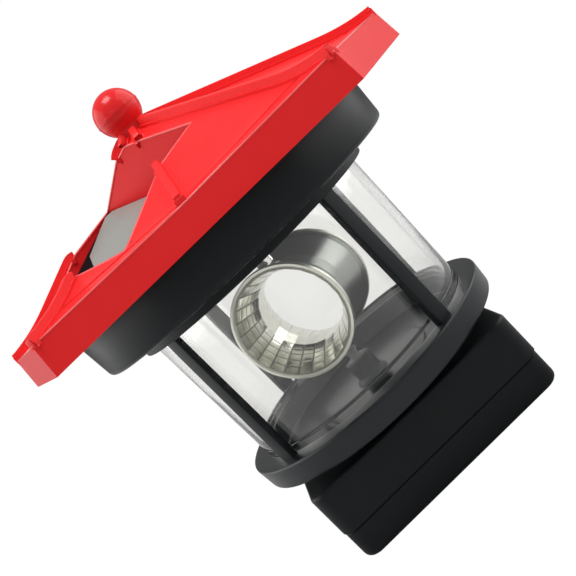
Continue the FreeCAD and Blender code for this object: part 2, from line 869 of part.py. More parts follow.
def rib(number):
    line = RibLine(number, 1.0, 0.0)
    top_start = line.at(rib_inner_end, line.apex - line.slope * rib_inner_end + rib_height)
    low_start = line.at(rib_inner_end, line.apex - line.slope * rib_inner_end - rib_sink)
    low_kink = line.kink(-rib_sink)
    low_eave = line.eave_point(-rib_sink)
    edges = [Part.makeLine(low_start, top_start), Part.makeLine(top_start, line.kink(rib_height)),
             line.flare(rib_height), Part.makeLine(line.eave_point(rib_height), low_eave),
             line.flare(-rib_sink), Part.makeLine(low_kink, low_start)]
    side = V(-line.direction.y, line.direction.x, 0)
    face = Part.Face(Part.Wire(Part.__sortEdges__(edges)))
    face.translate(side * (-rib_width / 2))
    bar = face.extrude(side * rib_width)
    tops = [edge for edge in bar.Edges if is_top_edge(edge, line)]
    return bar.makeChamfer(rib_width * 0.25, tops)


def is_top_edge(edge, line):
    middle = edge.valueAt((edge.FirstParameter + edge.LastParameter) / 2)
    across = abs(-middle.x * line.direction.y + middle.y * line.direction.x)
    along = middle.x * line.direction.x + middle.y * line.direction.y
    surface = rib_surface_height(line, along)
    ends = [abs(point.Z - edge.Vertexes[0].Z) for point in edge.Vertexes]
    return across > rib_width * 0.45 and middle.z > surface + rib_height * 0.5 and max(ends) > 1e-6


def rib_surface_height(line, along):
    if along <= line.start:
        return line.apex - line.slope * along
    share = (along - line.start) / (line.reach - line.start)
    kink, bend, end = line.kink().z, line.flare_point().z, line.eave
    return kink * (1 - share) ** 2 + 2 * bend * share * (1 - share) + end * share ** 2


def well_point(u, v):
    turn = math.radians(well_direction)
    return (u * math.cos(turn) - v * math.sin(turn), u * math.sin(turn) + v * math.cos(turn))


def grown(corners, distance):
    result = []
    for number, (u, v) in enumerate(corners):
        last = corners[number - 1]
        after = corners[(number + 1) % len(corners)]
        inward = V(v - last[1], last[0] - u, 0).normalize()
        outward = V(after[1] - v, u - after[0], 0).normalize()
        share = distance / (1 + inward.dot(outward))
        result.append((u + (inward.x + outward.x) * share, v + (inward.y + outward.y) * share))
    return result


def well_outline(corners, grow):
    return [well_point(u, v) for u, v in grown(corners, grow)]


def panel_plane(drop):
    turn = math.radians(well_direction)

    def height(x, y):
        along = x * math.cos(turn) + y * math.sin(turn) - panel_start[0]
        across = y * math.cos(turn) - x * math.sin(turn) - panel_start[1]
        return panel_height - panel_slope[0] * along - panel_slope[1] * across - drop
    return height


def pocket_plane(drop):
    return lambda x, y: pocket_floor - drop


def roof_shell():
    outer = roof_body(1.0, 0.0, roof_bottom)
    inset = 1 - roof_wall / roof_half_width
    inner = roof_body(inset, roof_wall * 1.1, roof_bottom - 1.0)
    skin = outer.cut(inner)
    seats = [cylinder(roof_boss_radius, ring_bottom + ceiling_thickness, apex_height, *place)
             for place in [spin_back(roof_boss_place(angle)) for angle in roof_boss_angles]]
    below = Part.makeBox(200, 200, roof_bottom - ring_bottom, V(-100, -100, ring_bottom))
    column_limit = outer.fuse(below)
    skin = skin.fuse([seat.common(column_limit) for seat in seats])
    plate_foot = cell_thickness + panel_thickness
    tray = prism(well_outline(well_corners, well_wall), panel_plane(plate_foot + well_wall), 60)
    tray = tray.fuse(prism(well_outline(pocket_corners, well_wall), pocket_plane(well_wall), 60))
    skin = skin.fuse(tray.common(column_limit))
    crown = cylinder(crown_radius, apex_height - 4, crown_height)
    skin = skin.fuse([rib(number) for number in range(8)] + [crown])
    skin = skin.cut(prism(well_outline(well_corners, 0), panel_plane(plate_foot), 60))
    skin = skin.cut(prism(well_outline(pocket_corners, 0), pocket_plane(0), 60))
    for angle in roof_boss_angles:
        x, y = spin_back(roof_boss_place(angle))
        skin = skin.cut(cylinder(screw_radius + 0.02, ring_bottom, ring_bottom + roof_screw_length + 0.5, x, y))
    skin = skin.cut(cylinder(spigot_radius + 0.02, crown_height - spigot_length, crown_height + 1))
    return one_solid(spin(skin, roof_turn))


def spin_back(place):
    turn = math.radians(-roof_turn)
    return (place[0] * math.cos(turn) - place[1] * math.sin(turn),
            place[0] * math.sin(turn) + place[1] * math.cos(turn))


def solar_plate():
    plate_foot = cell_thickness + panel_thickness
    plate = prism(well_outline(well_corners, -panel_margin), panel_plane(plate_foot), panel_thickness)
    return spin(one_solid(plate), roof_turn)


def solar_cell():
    outline = [well_point(u, v) for u, v in cell_corners]
    return spin(prism(outline, panel_plane(cell_thickness), cell_thickness), roof_turn)


def finial_ball():
    ball = Part.makeSphere(ball_radius, V(0, 0, ball_height))
    ball = ball.cut(block(4 * ball_radius, 4 * ball_radius, 0, crown_height))
    spigot = cylinder(spigot_radius, crown_height - spigot_length, crown_height)
    seam = cylinder(ball_radius + 0.12, ball_height - 0.25, ball_height + 0.25)
    seam = seam.cut(cylinder(ball_radius - 0.5, ball_height - 0.25, ball_height + 0.25))
    return one_solid(ball.fuse([spigot, seam]))


# ---- write one file for each piece ----
pieces = {
    "bottom_cover": bottom_cover(),
    "base_housing": base_housing(),
    "battery_door": battery_door(),
    "door_screw": door_screw(),
    "cover_screws": cover_screws(),
    "battery": battery(),
    "battery_contact": battery_contact(),
    "spring_contact": spring_contact(),
    "circuit_board": circuit_board(),
    "switch_body": switch_body(),
    "switch_knob": switch_knob(),
    "motor": motor(),
    "motor_pinion": motor_pinion(),
    "gear_plate": gear_plate(),
    "plate_screws": plate_screws(),
    "motor_screws": motor_screws(),
    "idler_pin": idler_pin(),
    "idler_gear": idler_gear(),
    "output_gear": output_gear(),
    "drive_hub": drive_hub(),
    "shaft_bush": shaft_bush(),
    "reflector": reflector(),
    "lantern_base": lantern_base(),
    "glass_tube": glass_tube(),
    "head_ring": head_ring(),
    "roof_screws": roof_screws(),
    "led": led(),
    "led_board": led_board(),
    "roof_shell": roof_shell(),
    "solar_plate": solar_plate(),
    "solar_cell": solar_cell(),
    "finial_ball": finial_ball(),
}
post_names = ["post_back_right", "post_back_left", "post_front_left", "post_front_right"]
for name, angle in zip(post_names, post_angles()):
    pieces[name] = post(angle)

os.makedirs("parts", exist_ok=True)
for name, shape in pieces.items():
    shape.exportStep("parts/%s.step" % name)
    print(name, "valid", shape.isValid(), "solids", len(shape.Solids), "volume", round(shape.Volume, 1))
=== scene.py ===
import bpy
import bmesh
import math
from mathutils import Vector, Matrix
from mathutils.bvhtree import BVHTree


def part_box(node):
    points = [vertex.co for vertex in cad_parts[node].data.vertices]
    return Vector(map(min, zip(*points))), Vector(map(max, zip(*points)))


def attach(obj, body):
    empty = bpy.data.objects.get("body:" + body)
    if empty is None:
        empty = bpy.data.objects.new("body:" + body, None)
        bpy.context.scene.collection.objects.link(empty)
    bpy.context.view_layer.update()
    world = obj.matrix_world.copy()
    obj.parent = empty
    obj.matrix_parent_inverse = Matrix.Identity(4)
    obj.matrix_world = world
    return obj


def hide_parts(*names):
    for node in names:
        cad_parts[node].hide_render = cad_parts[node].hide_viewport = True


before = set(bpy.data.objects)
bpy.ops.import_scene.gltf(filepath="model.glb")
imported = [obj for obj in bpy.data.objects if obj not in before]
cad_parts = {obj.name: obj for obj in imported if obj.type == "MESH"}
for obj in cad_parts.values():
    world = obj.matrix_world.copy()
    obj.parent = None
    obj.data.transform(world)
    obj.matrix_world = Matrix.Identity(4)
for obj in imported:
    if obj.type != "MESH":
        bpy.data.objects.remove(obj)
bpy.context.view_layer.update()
print("frame loaded")

mm = 0.001  # the sizes of the pieces are written in millimetres


# wraps a socket, so that shader maths reads as an expression
class Tap:
    def __init__(self, net, socket):
        self.net = net
        self.socket = socket

    def __add__(self, other):
        return self.net.math("ADD", self, other)

    def __radd__(self, other):
        return self.net.math("ADD", other, self)

    def __sub__(self, other):
        return self.net.math("SUBTRACT", self, other)

    def __rsub__(self, other):
        return self.net.math("SUBTRACT", other, self)

    def __mul__(self, other):
        return self.net.math("MULTIPLY", self, other)

    def __rmul__(self, other):
        return self.net.math("MULTIPLY", other, self)

    def __truediv__(self, other):
        return self.net.math("DIVIDE", self, other)

    def __gt__(self, other):
        return self.net.math("GREATER_THAN", self, other)

    def __lt__(self, other):
        return self.net.math("LESS_THAN", self, other)

    def __pow__(self, other):
        return self.net.math("POWER", self, other)


# one node tree, with a short way to add its nodes
class Net:
    def __init__(self, tree):
        self.tree = tree
        tree.nodes.clear()

    def node(self, kind, settings=None, sockets=None):
        node = self.tree.nodes.new(kind)
        for key, value in (settings or {}).items():
            setattr(node, key, value)
        for key, value in (sockets or {}).items():
            if isinstance(value, Tap):
                self.tree.links.new(value.socket, node.inputs[key])
            else:
                node.inputs[key].default_value = value
        return node

    def add(self, kind, settings=None, sockets=None, out=0):
        return Tap(self, self.node(kind, settings, sockets).outputs[out])

    def math(self, operation, *values):
        return self.add("ShaderNodeMath", {"operation": operation}, dict(enumerate(values)))


def newMaterial(name):
    material = bpy.data.materials.new(name)
    material.use_nodes = True
    net = Net(material.node_tree)
    return material, net, net.add("ShaderNodeTexCoord", out="Object")


def finished(material, net, shader):
    net.node("ShaderNodeOutputMaterial", None, {"Surface": shader})
    return material


def principled(material, net, sockets):
    return finished(material, net, net.add("ShaderNodeBsdfPrincipled", None, sockets))


def rgba(colour):
    return colour if isinstance(colour, Tap) else (*colour, 1.0)


def blendOf(net, factor, first, second):
    return net.add("ShaderNodeMix", {"data_type": "RGBA"},
                   {0: factor, 6: rgba(first), 7: rgba(second)}, out=2)


def noiseOf(net, place, scale, detail=2.0):
    return net.add("ShaderNodeTexNoise", {"noise_dimensions": "3D"},
                   {"Vector": place, "Scale": scale, "Detail": detail, "Roughness": 0.5})


def bumpOf(net, strength, distance, height):
    return net.add("ShaderNodeBump", None,
                   {"Strength": strength, "Distance": distance * mm, "Height": height})


# x, y and z in millimetres, turned about the lamp's axis
def turnedPlace(net, place, degrees):
    turned = net.add("ShaderNodeMapping", None,
                     {"Vector": place, "Rotation": (0.0, 0.0, -math.radians(degrees)),
                      "Scale": (1 / mm, 1 / mm, 1 / mm)})
    split = net.node("ShaderNodeSeparateXYZ", None, {0: turned})
    return [Tap(net, output) for output in split.outputs]


# the broad cloud and the fine grain that plastics and metals share
def grainOf(net, place, look):
    broad = noiseOf(net, place, look["cloudScale"], detail=3.0)
    fine = noiseOf(net, place, look["grainScale"])
    colour = blendOf(net, broad, look["dark"], look["light"])
    bump = bumpOf(net, look["grainDepth"], 0.1, fine)
    rough = look["roughness"] + (broad - 0.5) * look["roughSpread"]
    return fine, colour, bump, rough


def mouldedPlastic(name, look):
    material, net, place = newMaterial(name)
    fine, colour, bump, rough = grainOf(net, place, look)
    rough = rough + (fine - 0.5) * look.get("grainShine", 0.05)
    if "shine" in look:  # smoother near the lamp's axis
        level = net.add("ShaderNodeVectorMath", {"operation": "MULTIPLY"},
                        {0: place, 1: (1 / mm, 1 / mm, 0.0)})
        radius = net.add("ShaderNodeVectorMath", {"operation": "LENGTH"}, {0: level}, out=1)
        rough = rough - (radius < look["shineWithin"]) * (look["roughness"] - look["shine"])
    sockets = {"Base Color": colour, "Roughness": rough, "Normal": bump,
               "Specular IOR Level": look.get("specular", 0.5)}
    if "depth" in look:
        sockets.update({"Subsurface Weight": look["depth"], "Subsurface Radius": look["depthRadius"],
                        "Subsurface Scale": look["depthScale"]})
    return principled(material, net, sockets)


def metal(name, look):
    material, net, place = newMaterial(name)
    colour, bump, rough = grainOf(net, place, look)[1:]
    return principled(material, net,
                      {"Base Color": colour, "Metallic": 1.0, "Roughness": rough, "Normal": bump})


def clearPlastic(name, look):
    material, net, place = newMaterial(name)
    waves = noiseOf(net, place, look["waveScale"])
    rough = look["roughness"] + (waves - 0.5) * look["roughSpread"]
    body = net.add("ShaderNodeBsdfPrincipled", None,
                   {"Base Color": rgba(look["tint"]), "Roughness": rough, "IOR": look["ior"],
                    "Transmission Weight": 1.0, "Normal": bumpOf(net, look["waveDepth"], 0.5, waves)})
    shade = net.add("ShaderNodeBsdfTransparent", None, {"Color": rgba(look["shade"])})
    path = net.add("ShaderNodeLightPath", out="Is Shadow Ray")  # light passes through
    return finished(material, net, net.add("ShaderNodeMixShader", None, {0: path, 1: body, 2: shade}))


def linked(name, data):
    thing = bpy.data.objects.new(name, data)
    bpy.context.scene.collection.objects.link(thing)
    return thing


# merges doubles, turns faces outwards and keeps edges above an angle sharp
def finishObject(name, mesh, material, sharp):
    tidy = bmesh.new()
    tidy.from_mesh(mesh)
    bmesh.ops.remove_doubles(tidy, verts=tidy.verts, dist=1e-7)
    bmesh.ops.recalc_face_normals(tidy, faces=tidy.faces)
    tidy.to_mesh(mesh)
    tidy.free()
    for polygon in mesh.polygons:
        polygon.use_smooth = True
    mesh.set_sharp_from_angle(angle=math.radians(sharp))
    if material:
        mesh.materials.clear()
        mesh.materials.append(material)
    return linked(name, mesh)


# one mesh from several (points, faces) lists in millimetres
def build(name, parts, material, sharp=28):
    verts, faces = [], []
    for partVerts, partFaces in parts:
        base = len(verts)
        verts += [Vector(v) * mm for v in partVerts]
        faces += [[index + base for index in face] for face in partFaces]
    mesh = bpy.data.meshes.new(name)
    mesh.from_pydata(verts, [], faces)
    return finishObject(name, mesh, material, sharp)


# faces between two loops, where one may be a pole
def strip(first, second):
    if len(first) == 1 and len(second) == 1:
        return []
    count = max(len(first), len(second))
    faces = []
    for i in range(count):
        j = (i + 1) % count
        if len(first) == 1:
            faces.append([first[0], second[j], second[i]])
        elif len(second) == 1:
            faces.append([first[i], first[j], second[0]])
        else:
            faces.append([first[i], first[j], second[j], second[i]])
    return faces


# joins loops of points into a skin; a loop of one point is a pole
def looped(loops, closed=False, capStart=False, capEnd=False):
    verts, rings, faces = [], [], []
    for loop in loops:
        rings.append(list(range(len(verts), len(verts) + len(loop))))
        verts += loop
    for first, second in zip(rings, rings[1:]):
        faces += strip(first, second)
    if closed:
        faces += strip(rings[-1], rings[0])
    if capStart:
        faces.append(rings[0])
    if capEnd:
        faces.append(rings[-1])
    return verts, faces


# rounds each (radius, height, rounding) corner of a profile
def eased(profile, steps=4, most=0.45):
    result = []
    count = len(profile)
    for i, corner in enumerate(profile):
        r, z = corner[0], corner[1]
        ease = corner[2] if len(corner) > 2 else 0.0
        before, after = profile[i - 1], profile[(i + 1) % count]
        here = Vector((r, z))
        back = Vector(before[:2]) - here
        ahead = Vector(after[:2]) - here
        if ease <= 0 or r < 1e-6 or back.length < 1e-6 or ahead.length < 1e-6:
            result.append((r, z))
            continue
        reach = min(ease, back.length * most, ahead.length * most)
        start = here + back.normalized() * reach
        end = here + ahead.normalized() * reach
        for k in range(steps + 1):
            t = k / steps
            point = start * (1 - t) ** 2 + here * 2 * t * (1 - t) + end * t ** 2
            result.append((point.x, point.y))
    return result


def spun(profile, segments=160, centre=(0.0, 0.0)):
    loops = []
    for r, z in profile:
        if r < 1e-6:
            loops.append([(centre[0], centre[1], z)])
        else:
            loops.append([(centre[0] + r * math.cos(2 * math.pi * k / segments),
                           centre[1] + r * math.sin(2 * math.pi * k / segments), z) for k in range(segments)])
    poles = len(loops[0]) == 1 or len(loops[-1]) == 1
    return looped(loops, closed=not poles)


def roundedSquare(half, radius, z, cornerSteps=10):
    middle = half - radius
    points = []
    for quarter in range(4):
        turn = math.pi / 2 * quarter
        for k in range(cornerSteps + 1):
            angle = math.pi / 2 * k / cornerSteps
            x, y = middle + radius * math.cos(angle), middle + radius * math.sin(angle)
            points.append((x * math.cos(turn) - y * math.sin(turn),
                           x * math.sin(turn) + y * math.cos(turn), z))
    return points


def prismOf(outline, lowAt, highAt):
    low = [(x, y, lowAt(x, y)) for x, y in outline]
    high = [(x, y, highAt(x, y)) for x, y in outline]
    return looped([low, high], capStart=True, capEnd=True)


def boxOf(x0, x1, y0, y1, z0, z1):
    return prismOf([(x0, y0), (x1, y0), (x1, y1), (x0, y1)], lambda x, y: z0, lambda x, y: z1)


def evaluatedMesh(thing):
    return bpy.data.meshes.new_from_object(thing.evaluated_get(bpy.context.evaluated_depsgraph_get()))


# leaves the modifiers' result as the piece's own mesh
def applied(piece):
    mesh = evaluatedMesh(piece)
    piece.modifiers.clear()
    old = piece.data
    name = old.name
    piece.data = mesh
    bpy.data.meshes.remove(old)
    mesh.name = name
    return piece


def carve(piece, cutter, operation="DIFFERENCE"):
    step = piece.modifiers.new("carve", "BOOLEAN")
    step.operation = operation
    step.solver = "EXACT"
    step.object = cutter
    applied(piece)
    bpy.data.objects.remove(cutter)


def bevelled(piece, width, segments=2):
    step = piece.modifiers.new("edge", "BEVEL")
    step.width = width * mm
    step.segments = segments
    step.limit_method = "ANGLE"
    step.angle_limit = math.radians(30)
    return applied(piece)


def resharpened(piece, sharp):
    name, mesh = piece.name, piece.data
    bpy.data.objects.remove(piece)
    return finishObject(name, mesh, mesh.materials[0], sharp)


def turnPiece(piece, degrees):
    piece.data.transform(Matrix.Rotation(math.radians(degrees), 4, "Z"))
    return piece


def settle(piece, body, slotName, *nodes):
    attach(piece, body)
    if nodes:
        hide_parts(*nodes)


# linear colours, scales in waves per metre
blackLook = dict(
    dark=(0.0036, 0.0054, 0.0064), light=(0.0062, 0.0086, 0.0098), cloudScale=60.0, grainScale=3500.0,
    grainDepth=0.04, roughness=0.34, roughSpread=0.08, specular=0.22)
boxLook = dict(
    dark=(0.0048, 0.0060, 0.0070), light=(0.0078, 0.0095, 0.0108), cloudScale=50.0, grainScale=3000.0,
    grainDepth=0.06, roughness=0.38, roughSpread=0.08, specular=0.20)
redLook = dict(
    dark=(0.82, 0.022, 0.024), light=(0.90, 0.030, 0.031), cloudScale=45.0, grainScale=2600.0,
    grainDepth=0.015, roughness=0.26, roughSpread=0.05, specular=0.10, depth=0.08,
    depthRadius=(1.0, 0.15, 0.1), depthScale=0.0008)
greyLook = dict(
    dark=(0.085, 0.090, 0.095), light=(0.12, 0.125, 0.13), cloudScale=200.0, grainScale=4000.0,
    grainDepth=0.10, roughness=0.36, roughSpread=0.06)
nylonLook = dict(
    dark=(0.76, 0.76, 0.72), light=(0.84, 0.84, 0.81), cloudScale=150.0, grainScale=4000.0,
    grainDepth=0.08, roughness=0.42, roughSpread=0.06, depth=0.2, depthRadius=(1.0, 1.0, 0.9),
    depthScale=0.0006)
boardLook = dict(
    dark=(0.020, 0.13, 0.045), light=(0.035, 0.19, 0.07), cloudScale=500.0, grainScale=5000.0,
    grainDepth=0.10, roughness=0.30, roughSpread=0.10)
sleeveLook = dict(
    dark=(0.035, 0.18, 0.08), light=(0.055, 0.25, 0.11), cloudScale=90.0, grainScale=2500.0,
    grainDepth=0.05, roughness=0.22, roughSpread=0.05)
steelLook = dict(
    dark=(0.54, 0.54, 0.55), light=(0.70, 0.70, 0.71), cloudScale=300.0, grainScale=6000.0,
    grainDepth=0.15, roughness=0.30, roughSpread=0.12)
brassLook = dict(
    dark=(0.64, 0.46, 0.20), light=(0.78, 0.58, 0.28), cloudScale=300.0, grainScale=6000.0,
    grainDepth=0.12, roughness=0.26, roughSpread=0.10)
trayLook = dict(
    blackLook, dark=(0.0044, 0.0072, 0.0086), light=(0.0068, 0.0102, 0.0120), grainDepth=0.0,
    grainShine=0.0, roughSpread=0.03, specular=0.42, shineWithin=33.0, shine=0.28)
hubLook = dict(
    blackLook, dark=(0.008, 0.0105, 0.012), light=(0.012, 0.0145, 0.016), grainDepth=0.0, specular=0.12)
plateLook = dict(
    blackLook, dark=(0.003, 0.006, 0.0075), light=(0.004, 0.008, 0.0095), roughness=0.55, specular=0.03)
ballLook = dict(
    redLook, dark=(0.66, 0.017, 0.019), light=(0.76, 0.022, 0.024), roughness=0.2, specular=0.22)
# a lighter, glossier red for the beads along the eave and round the well: a painted highlight
paintedHighlightLook = dict(redLook, dark=(0.95, 0.095, 0.095), light=(0.98, 0.12, 0.12), roughness=0.2, specular=0.6)
tubeLook = dict(
    tint=(0.905, 0.905, 0.89), shade=(0.93, 0.93, 0.92), ior=1.49, roughness=0.03, roughSpread=0.02,
    waveScale=60.0, waveDepth=0.10)
lensLook = dict(
    tint=(0.96, 0.96, 0.95), shade=(0.90, 0.90, 0.89), ior=1.52, roughness=0.06, roughSpread=0.03,
    waveScale=300.0, waveDepth=0.08)

blackPlastic = mouldedPlastic("blackPlastic", blackLook)
trayPlastic = mouldedPlastic("trayPlastic", trayLook)
hubPlastic = mouldedPlastic("hubPlastic", hubLook)
platePlastic = mouldedPlastic("platePlastic", plateLook)
boxPlastic = mouldedPlastic("boxPlastic", boxLook)
redPlastic = mouldedPlastic("redPlastic", redLook)
ballPlastic = mouldedPlastic("ballPlastic", ballLook)
paintedHighlightPlastic = mouldedPlastic("paintedHighlightPlastic", paintedHighlightLook)
greyPlastic = mouldedPlastic("greyPlastic", greyLook)
whiteNylon = mouldedPlastic("whiteNylon", nylonLook)
solderMask = mouldedPlastic("solderMask", boardLook)
batterySleeve = mouldedPlastic("batterySleeve", sleeveLook)
zincSteel = metal("zincSteel", steelLook)
turnedBrass = metal("turnedBrass", brassLook)
clearTube = clearPlastic("clearTube", tubeLook)
clearLens = clearPlastic("clearLens", lensLook)
print("materials ready")


boxSizes = dict(
    half=32.4, corner=4.5, leastCorner=0.6, seam=8.7, seamStep=0.3, seamBreak=0.25, top=21.0, wall=2.0,
    edge=0.9, foot=1.9, floor=2.4, sharp=40)


def boxSkin(levels):
    s = boxSizes
    loops = [roundedSquare(s["half"] - inset, max(s["corner"] - inset, s["leastCorner"]), z)
             for inset, z in levels]
    return looped(loops, capStart=True, capEnd=True)


# a quarter round as (inset, height) levels, at the foot or at the top
def arcLevels(inset, z, radius, quarter, steps=5):
    levels = []
    for k in range(steps + 1):
        angle = math.pi / 2 * k / steps
        if quarter == "foot":
            levels.append((inset + radius * (1 - math.sin(angle)), z + radius * (1 - math.cos(angle))))
        else:
            levels.append((inset + radius * (1 - math.cos(angle)), z - radius * (1 - math.sin(angle))))
    return levels


def baseHousing():
    s = boxSizes
    levels = [(s["wall"], s["top"] - s["wall"]), (s["wall"], s["seam"]), (s["seamBreak"], s["seam"]),
              (0.0, s["seam"] + s["seamBreak"])]
    levels += arcLevels(0.0, s["top"], s["edge"], "top")
    piece = build("baseHousing", [boxSkin(levels)], boxPlastic, s["sharp"])
    settle(piece, "housing", "black_plastic", "base_housing")


coverSizes = dict(
    gap=0.15, under=-1.0, through=3.0, doorDeep=1.2, doorBack=-12.5, tabFront=-13.0, tabHalf=4.65,
    roomLow=1.0, roomEdge=1.0, roomBack=-13.5, knobSide=0.3, knobStart=0.5, knobEnd=3.5, screwRadius=2.65,
    screwDeep=2.2,
    screws=[(-27.0, 26.8), (-27.0, -8.2), (27.0, 26.8), (27.0, -8.2)])


def bottomCover():
    s, c = boxSizes, coverSizes
    step = s["seamStep"]
    levels = [(s["wall"], s["floor"]), (s["wall"], s["seam"]), (step + s["seamBreak"], s["seam"]),
              (step, s["seam"] - s["seamBreak"])]
    levels += reversed(arcLevels(step, 0.0, s["foot"], "foot"))
    piece = build("bottomCover", [boxSkin(levels)], boxPlastic, s["sharp"])
    low, high = [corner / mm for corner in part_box("battery_door")]
    knobLow, knobHigh = [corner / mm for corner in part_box("switch_knob")]
    gap, under = c["gap"], c["under"]
    cuts = [boxOf(low.x - gap, high.x + gap, low.y - gap, c["doorBack"] + gap, under, c["doorDeep"]),
            boxOf(-c["tabHalf"], c["tabHalf"], c["tabFront"], high.y + gap, under, c["doorDeep"]),
            boxOf(low.x + c["roomEdge"], high.x - c["roomEdge"], low.y + c["roomEdge"], c["roomBack"],
                  c["roomLow"], c["through"]),
            boxOf(knobLow.x - c["knobStart"], knobHigh.x + c["knobEnd"], knobLow.y - c["knobSide"],
                  knobHigh.y + c["knobSide"], under, c["through"])]
    seat = [(0, under), (c["screwRadius"], under), (c["screwRadius"], c["screwDeep"]), (0, c["screwDeep"])]
    cuts += [spun(seat, segments=40, centre=centre) for centre in c["screws"]]
    for cut in cuts:
        carve(piece, build("cutter", [cut], None))
    piece = resharpened(piece, s["sharp"])
    settle(piece, "housing", "black_plastic", "bottom_cover")


baseHousing()
bottomCover()
print("box ready")


traySizes = dict(
    seat=21.0, foot=30.0, rim=40.0, rimLow=39.4, low=23.4, high=30.0, inner=33.2, floor=24.0,
    innerLean=0.6, pad=17.6, padLean=0.5, padHigh=24.3, bush=3.2)


def lanternBase():
    s = traySizes
    profile = [(s["bush"], s["seat"]), (s["foot"], s["seat"]), (s["foot"], s["low"], 0.8),
               (s["rimLow"], s["low"], 0.9), (s["rim"], s["high"], 0.7), (s["inner"], s["high"], 0.5),
               (s["inner"] - s["innerLean"], s["floor"], 0.6),
               (s["pad"] + s["padLean"], s["floor"], 0.2), (s["pad"], s["padHigh"], 0.25),
               (s["bush"], s["padHigh"])]
    piece = build("lanternBase", [spun(eased(profile))], trayPlastic, sharp=35)
    settle(piece, "housing", "black_plastic", "lantern_base")


tubeSizes = dict(
    foot=34.7, head=35.5, low=28.8, rest=30.0, high=71.3, top=72.5, wall=1.3, step=0.5, lipWall=2.0,
    lipHigh=32.4, lipLean=0.7)


def glassTube():
    s = tubeSizes
    lip = s["foot"] - s["lipWall"]
    profile = [(lip, s["low"]), (s["foot"], s["low"]), (s["foot"], s["rest"]), (s["head"], s["high"]),
               (s["head"] - s["step"], s["high"] + 0.1), (s["head"] - s["step"], s["top"]),
               (s["head"] - s["wall"], s["top"]), (s["head"] - s["wall"], s["high"]),
               (s["foot"] - s["wall"], s["lipHigh"], 0.3), (lip, s["lipHigh"] - s["lipLean"], 0.3)]
    piece = build("clearTube", [spun(eased(profile), segments=192)], clearTube, sharp=30)
    settle(piece, "housing", "clear_plastic", "glass_tube")


# a curve of straight runs from lists of (x, y, z, width)
def curveHolder(lines, closed=False):
    curve = bpy.data.curves.new("lines", "CURVE")
    curve.dimensions = "3D"
    for line in lines:
        spline = curve.splines.new("POLY")
        spline.points.add(len(line) - 1)
        spline.use_cyclic_u = closed
        for point, (x, y, z, width) in zip(spline.points, line):
            point.co = (x * mm, y * mm, z * mm, 1.0)
            point.radius = width
    return linked("lines", curve)


# a geometry tree with named inputs, which gives back a plain mesh
class Grower:
    def __init__(self, name, numbers):
        self.name = name
        self.numbers = numbers
        self.tree = bpy.data.node_groups.new(name, "GeometryNodeTree")
        self.tree.interface.new_socket("Geometry", in_out="INPUT", socket_type="NodeSocketGeometry")
        for label, value in numbers.items():
            kind = "NodeSocketInt" if isinstance(value, int) else "NodeSocketFloat"
            socket = self.tree.interface.new_socket(label, in_out="INPUT", socket_type=kind)
            socket.default_value = value
        self.tree.interface.new_socket("Geometry", in_out="OUTPUT", socket_type="NodeSocketGeometry")
        self.net = Net(self.tree)
        self.entry = self.net.node("NodeGroupInput")

    def value(self, label):
        return Tap(self.net, self.entry.outputs[label])

    def rounded(self, mode, sizes, radius, count):
        rail = self.net.add("GeometryNodeCurvePrimitiveQuadrilateral", {"mode": mode}, sizes)
        return self.net.add("GeometryNodeFilletCurve", {"mode": "POLY"},
                            {0: rail, "Radius": radius, "Count": count})

    def upwards(self, value):
        return self.net.add("ShaderNodeCombineXYZ", None, {2: value})

    def grow(self, holder, shape, material):
        real = self.net.add("GeometryNodeRealizeInstances", None, {0: shape})
        painted = self.net.add("GeometryNodeSetMaterial", None, {0: real, "Material": material})
        self.net.node("NodeGroupOutput", None, {0: painted})
        step = holder.modifiers.new("grow", "NODES")
        step.node_group = self.tree
        for item in self.tree.interface.items_tree:
            if item.item_type == "SOCKET" and item.in_out == "INPUT" and item.name in self.numbers:
                step[item.identifier] = self.numbers[item.name]
        bpy.context.view_layer.update()
        mesh = evaluatedMesh(holder)
        bpy.data.objects.remove(holder)
        mesh.name = self.name
        return mesh


postSizes = dict(count=4, radius=35.9, depth=2.2, width=4.7, low=30.0, high=71.33, turn=36.4, edge=0.45)


def cagePosts():
    s = postSizes
    numbers = {"Count": s["count"], "Radius": s["radius"] * mm, "Depth": s["depth"] * mm,
               "Width": s["width"] * mm, "Height": (s["high"] - s["low"]) * mm,
               "Middle": (s["high"] + s["low"]) / 2 * mm,
               "Turn": math.radians(s["turn"]), "Edge": s["edge"] * mm}
    grower = Grower("cagePosts", numbers)
    net = grower.net
    section = grower.rounded("RECTANGLE", {"Width": grower.value("Depth"), "Height": grower.value("Width")},
                             grower.value("Edge"), 4)
    tall = grower.upwards(grower.value("Height") / 2)
    low = net.add("ShaderNodeVectorMath", {"operation": "SCALE"}, {0: tall, "Scale": -1.0})
    stem = net.add("GeometryNodeCurvePrimitiveLine", None, {"Start": low, "End": tall})
    bar = net.add("GeometryNodeCurveToMesh", None, {0: stem, 1: section, "Fill Caps": True})
    circle = net.add("GeometryNodeMeshCircle", None,
                     {"Vertices": grower.value("Count"), "Radius": grower.value("Radius")})
    points = net.add("GeometryNodeInstanceOnPoints", None, {0: circle, 2: bar})
    spread = net.add("GeometryNodeInputIndex") * (2 * math.pi) / grower.value("Count")
    lined = net.add("GeometryNodeRotateInstances", None, {0: points, "Rotation": grower.upwards(spread)})
    placed = net.add("GeometryNodeTransform", None,
                     {0: lined, "Translation": grower.upwards(grower.value("Middle")),
                      "Rotation": grower.upwards(grower.value("Turn"))})
    holder = linked("holder", bpy.data.meshes.new("holder"))
    piece = finishObject("cagePosts", grower.grow(holder, placed, blackPlastic), blackPlastic, sharp=35)
    settle(piece, "housing", "black_plastic", "post_back_right", "post_back_left", "post_front_left",
           "post_front_right")


ringSizes = dict(
    collar=38.5, low=74.16, lowRadius=48.5, shoulder=49.3, roofLow=85.3, neck=48.2, top=88.0, wall=1.8,
    edge=1.6, ceiling=1.8, room=34.1, collarLow=71.3, hole=2.6)


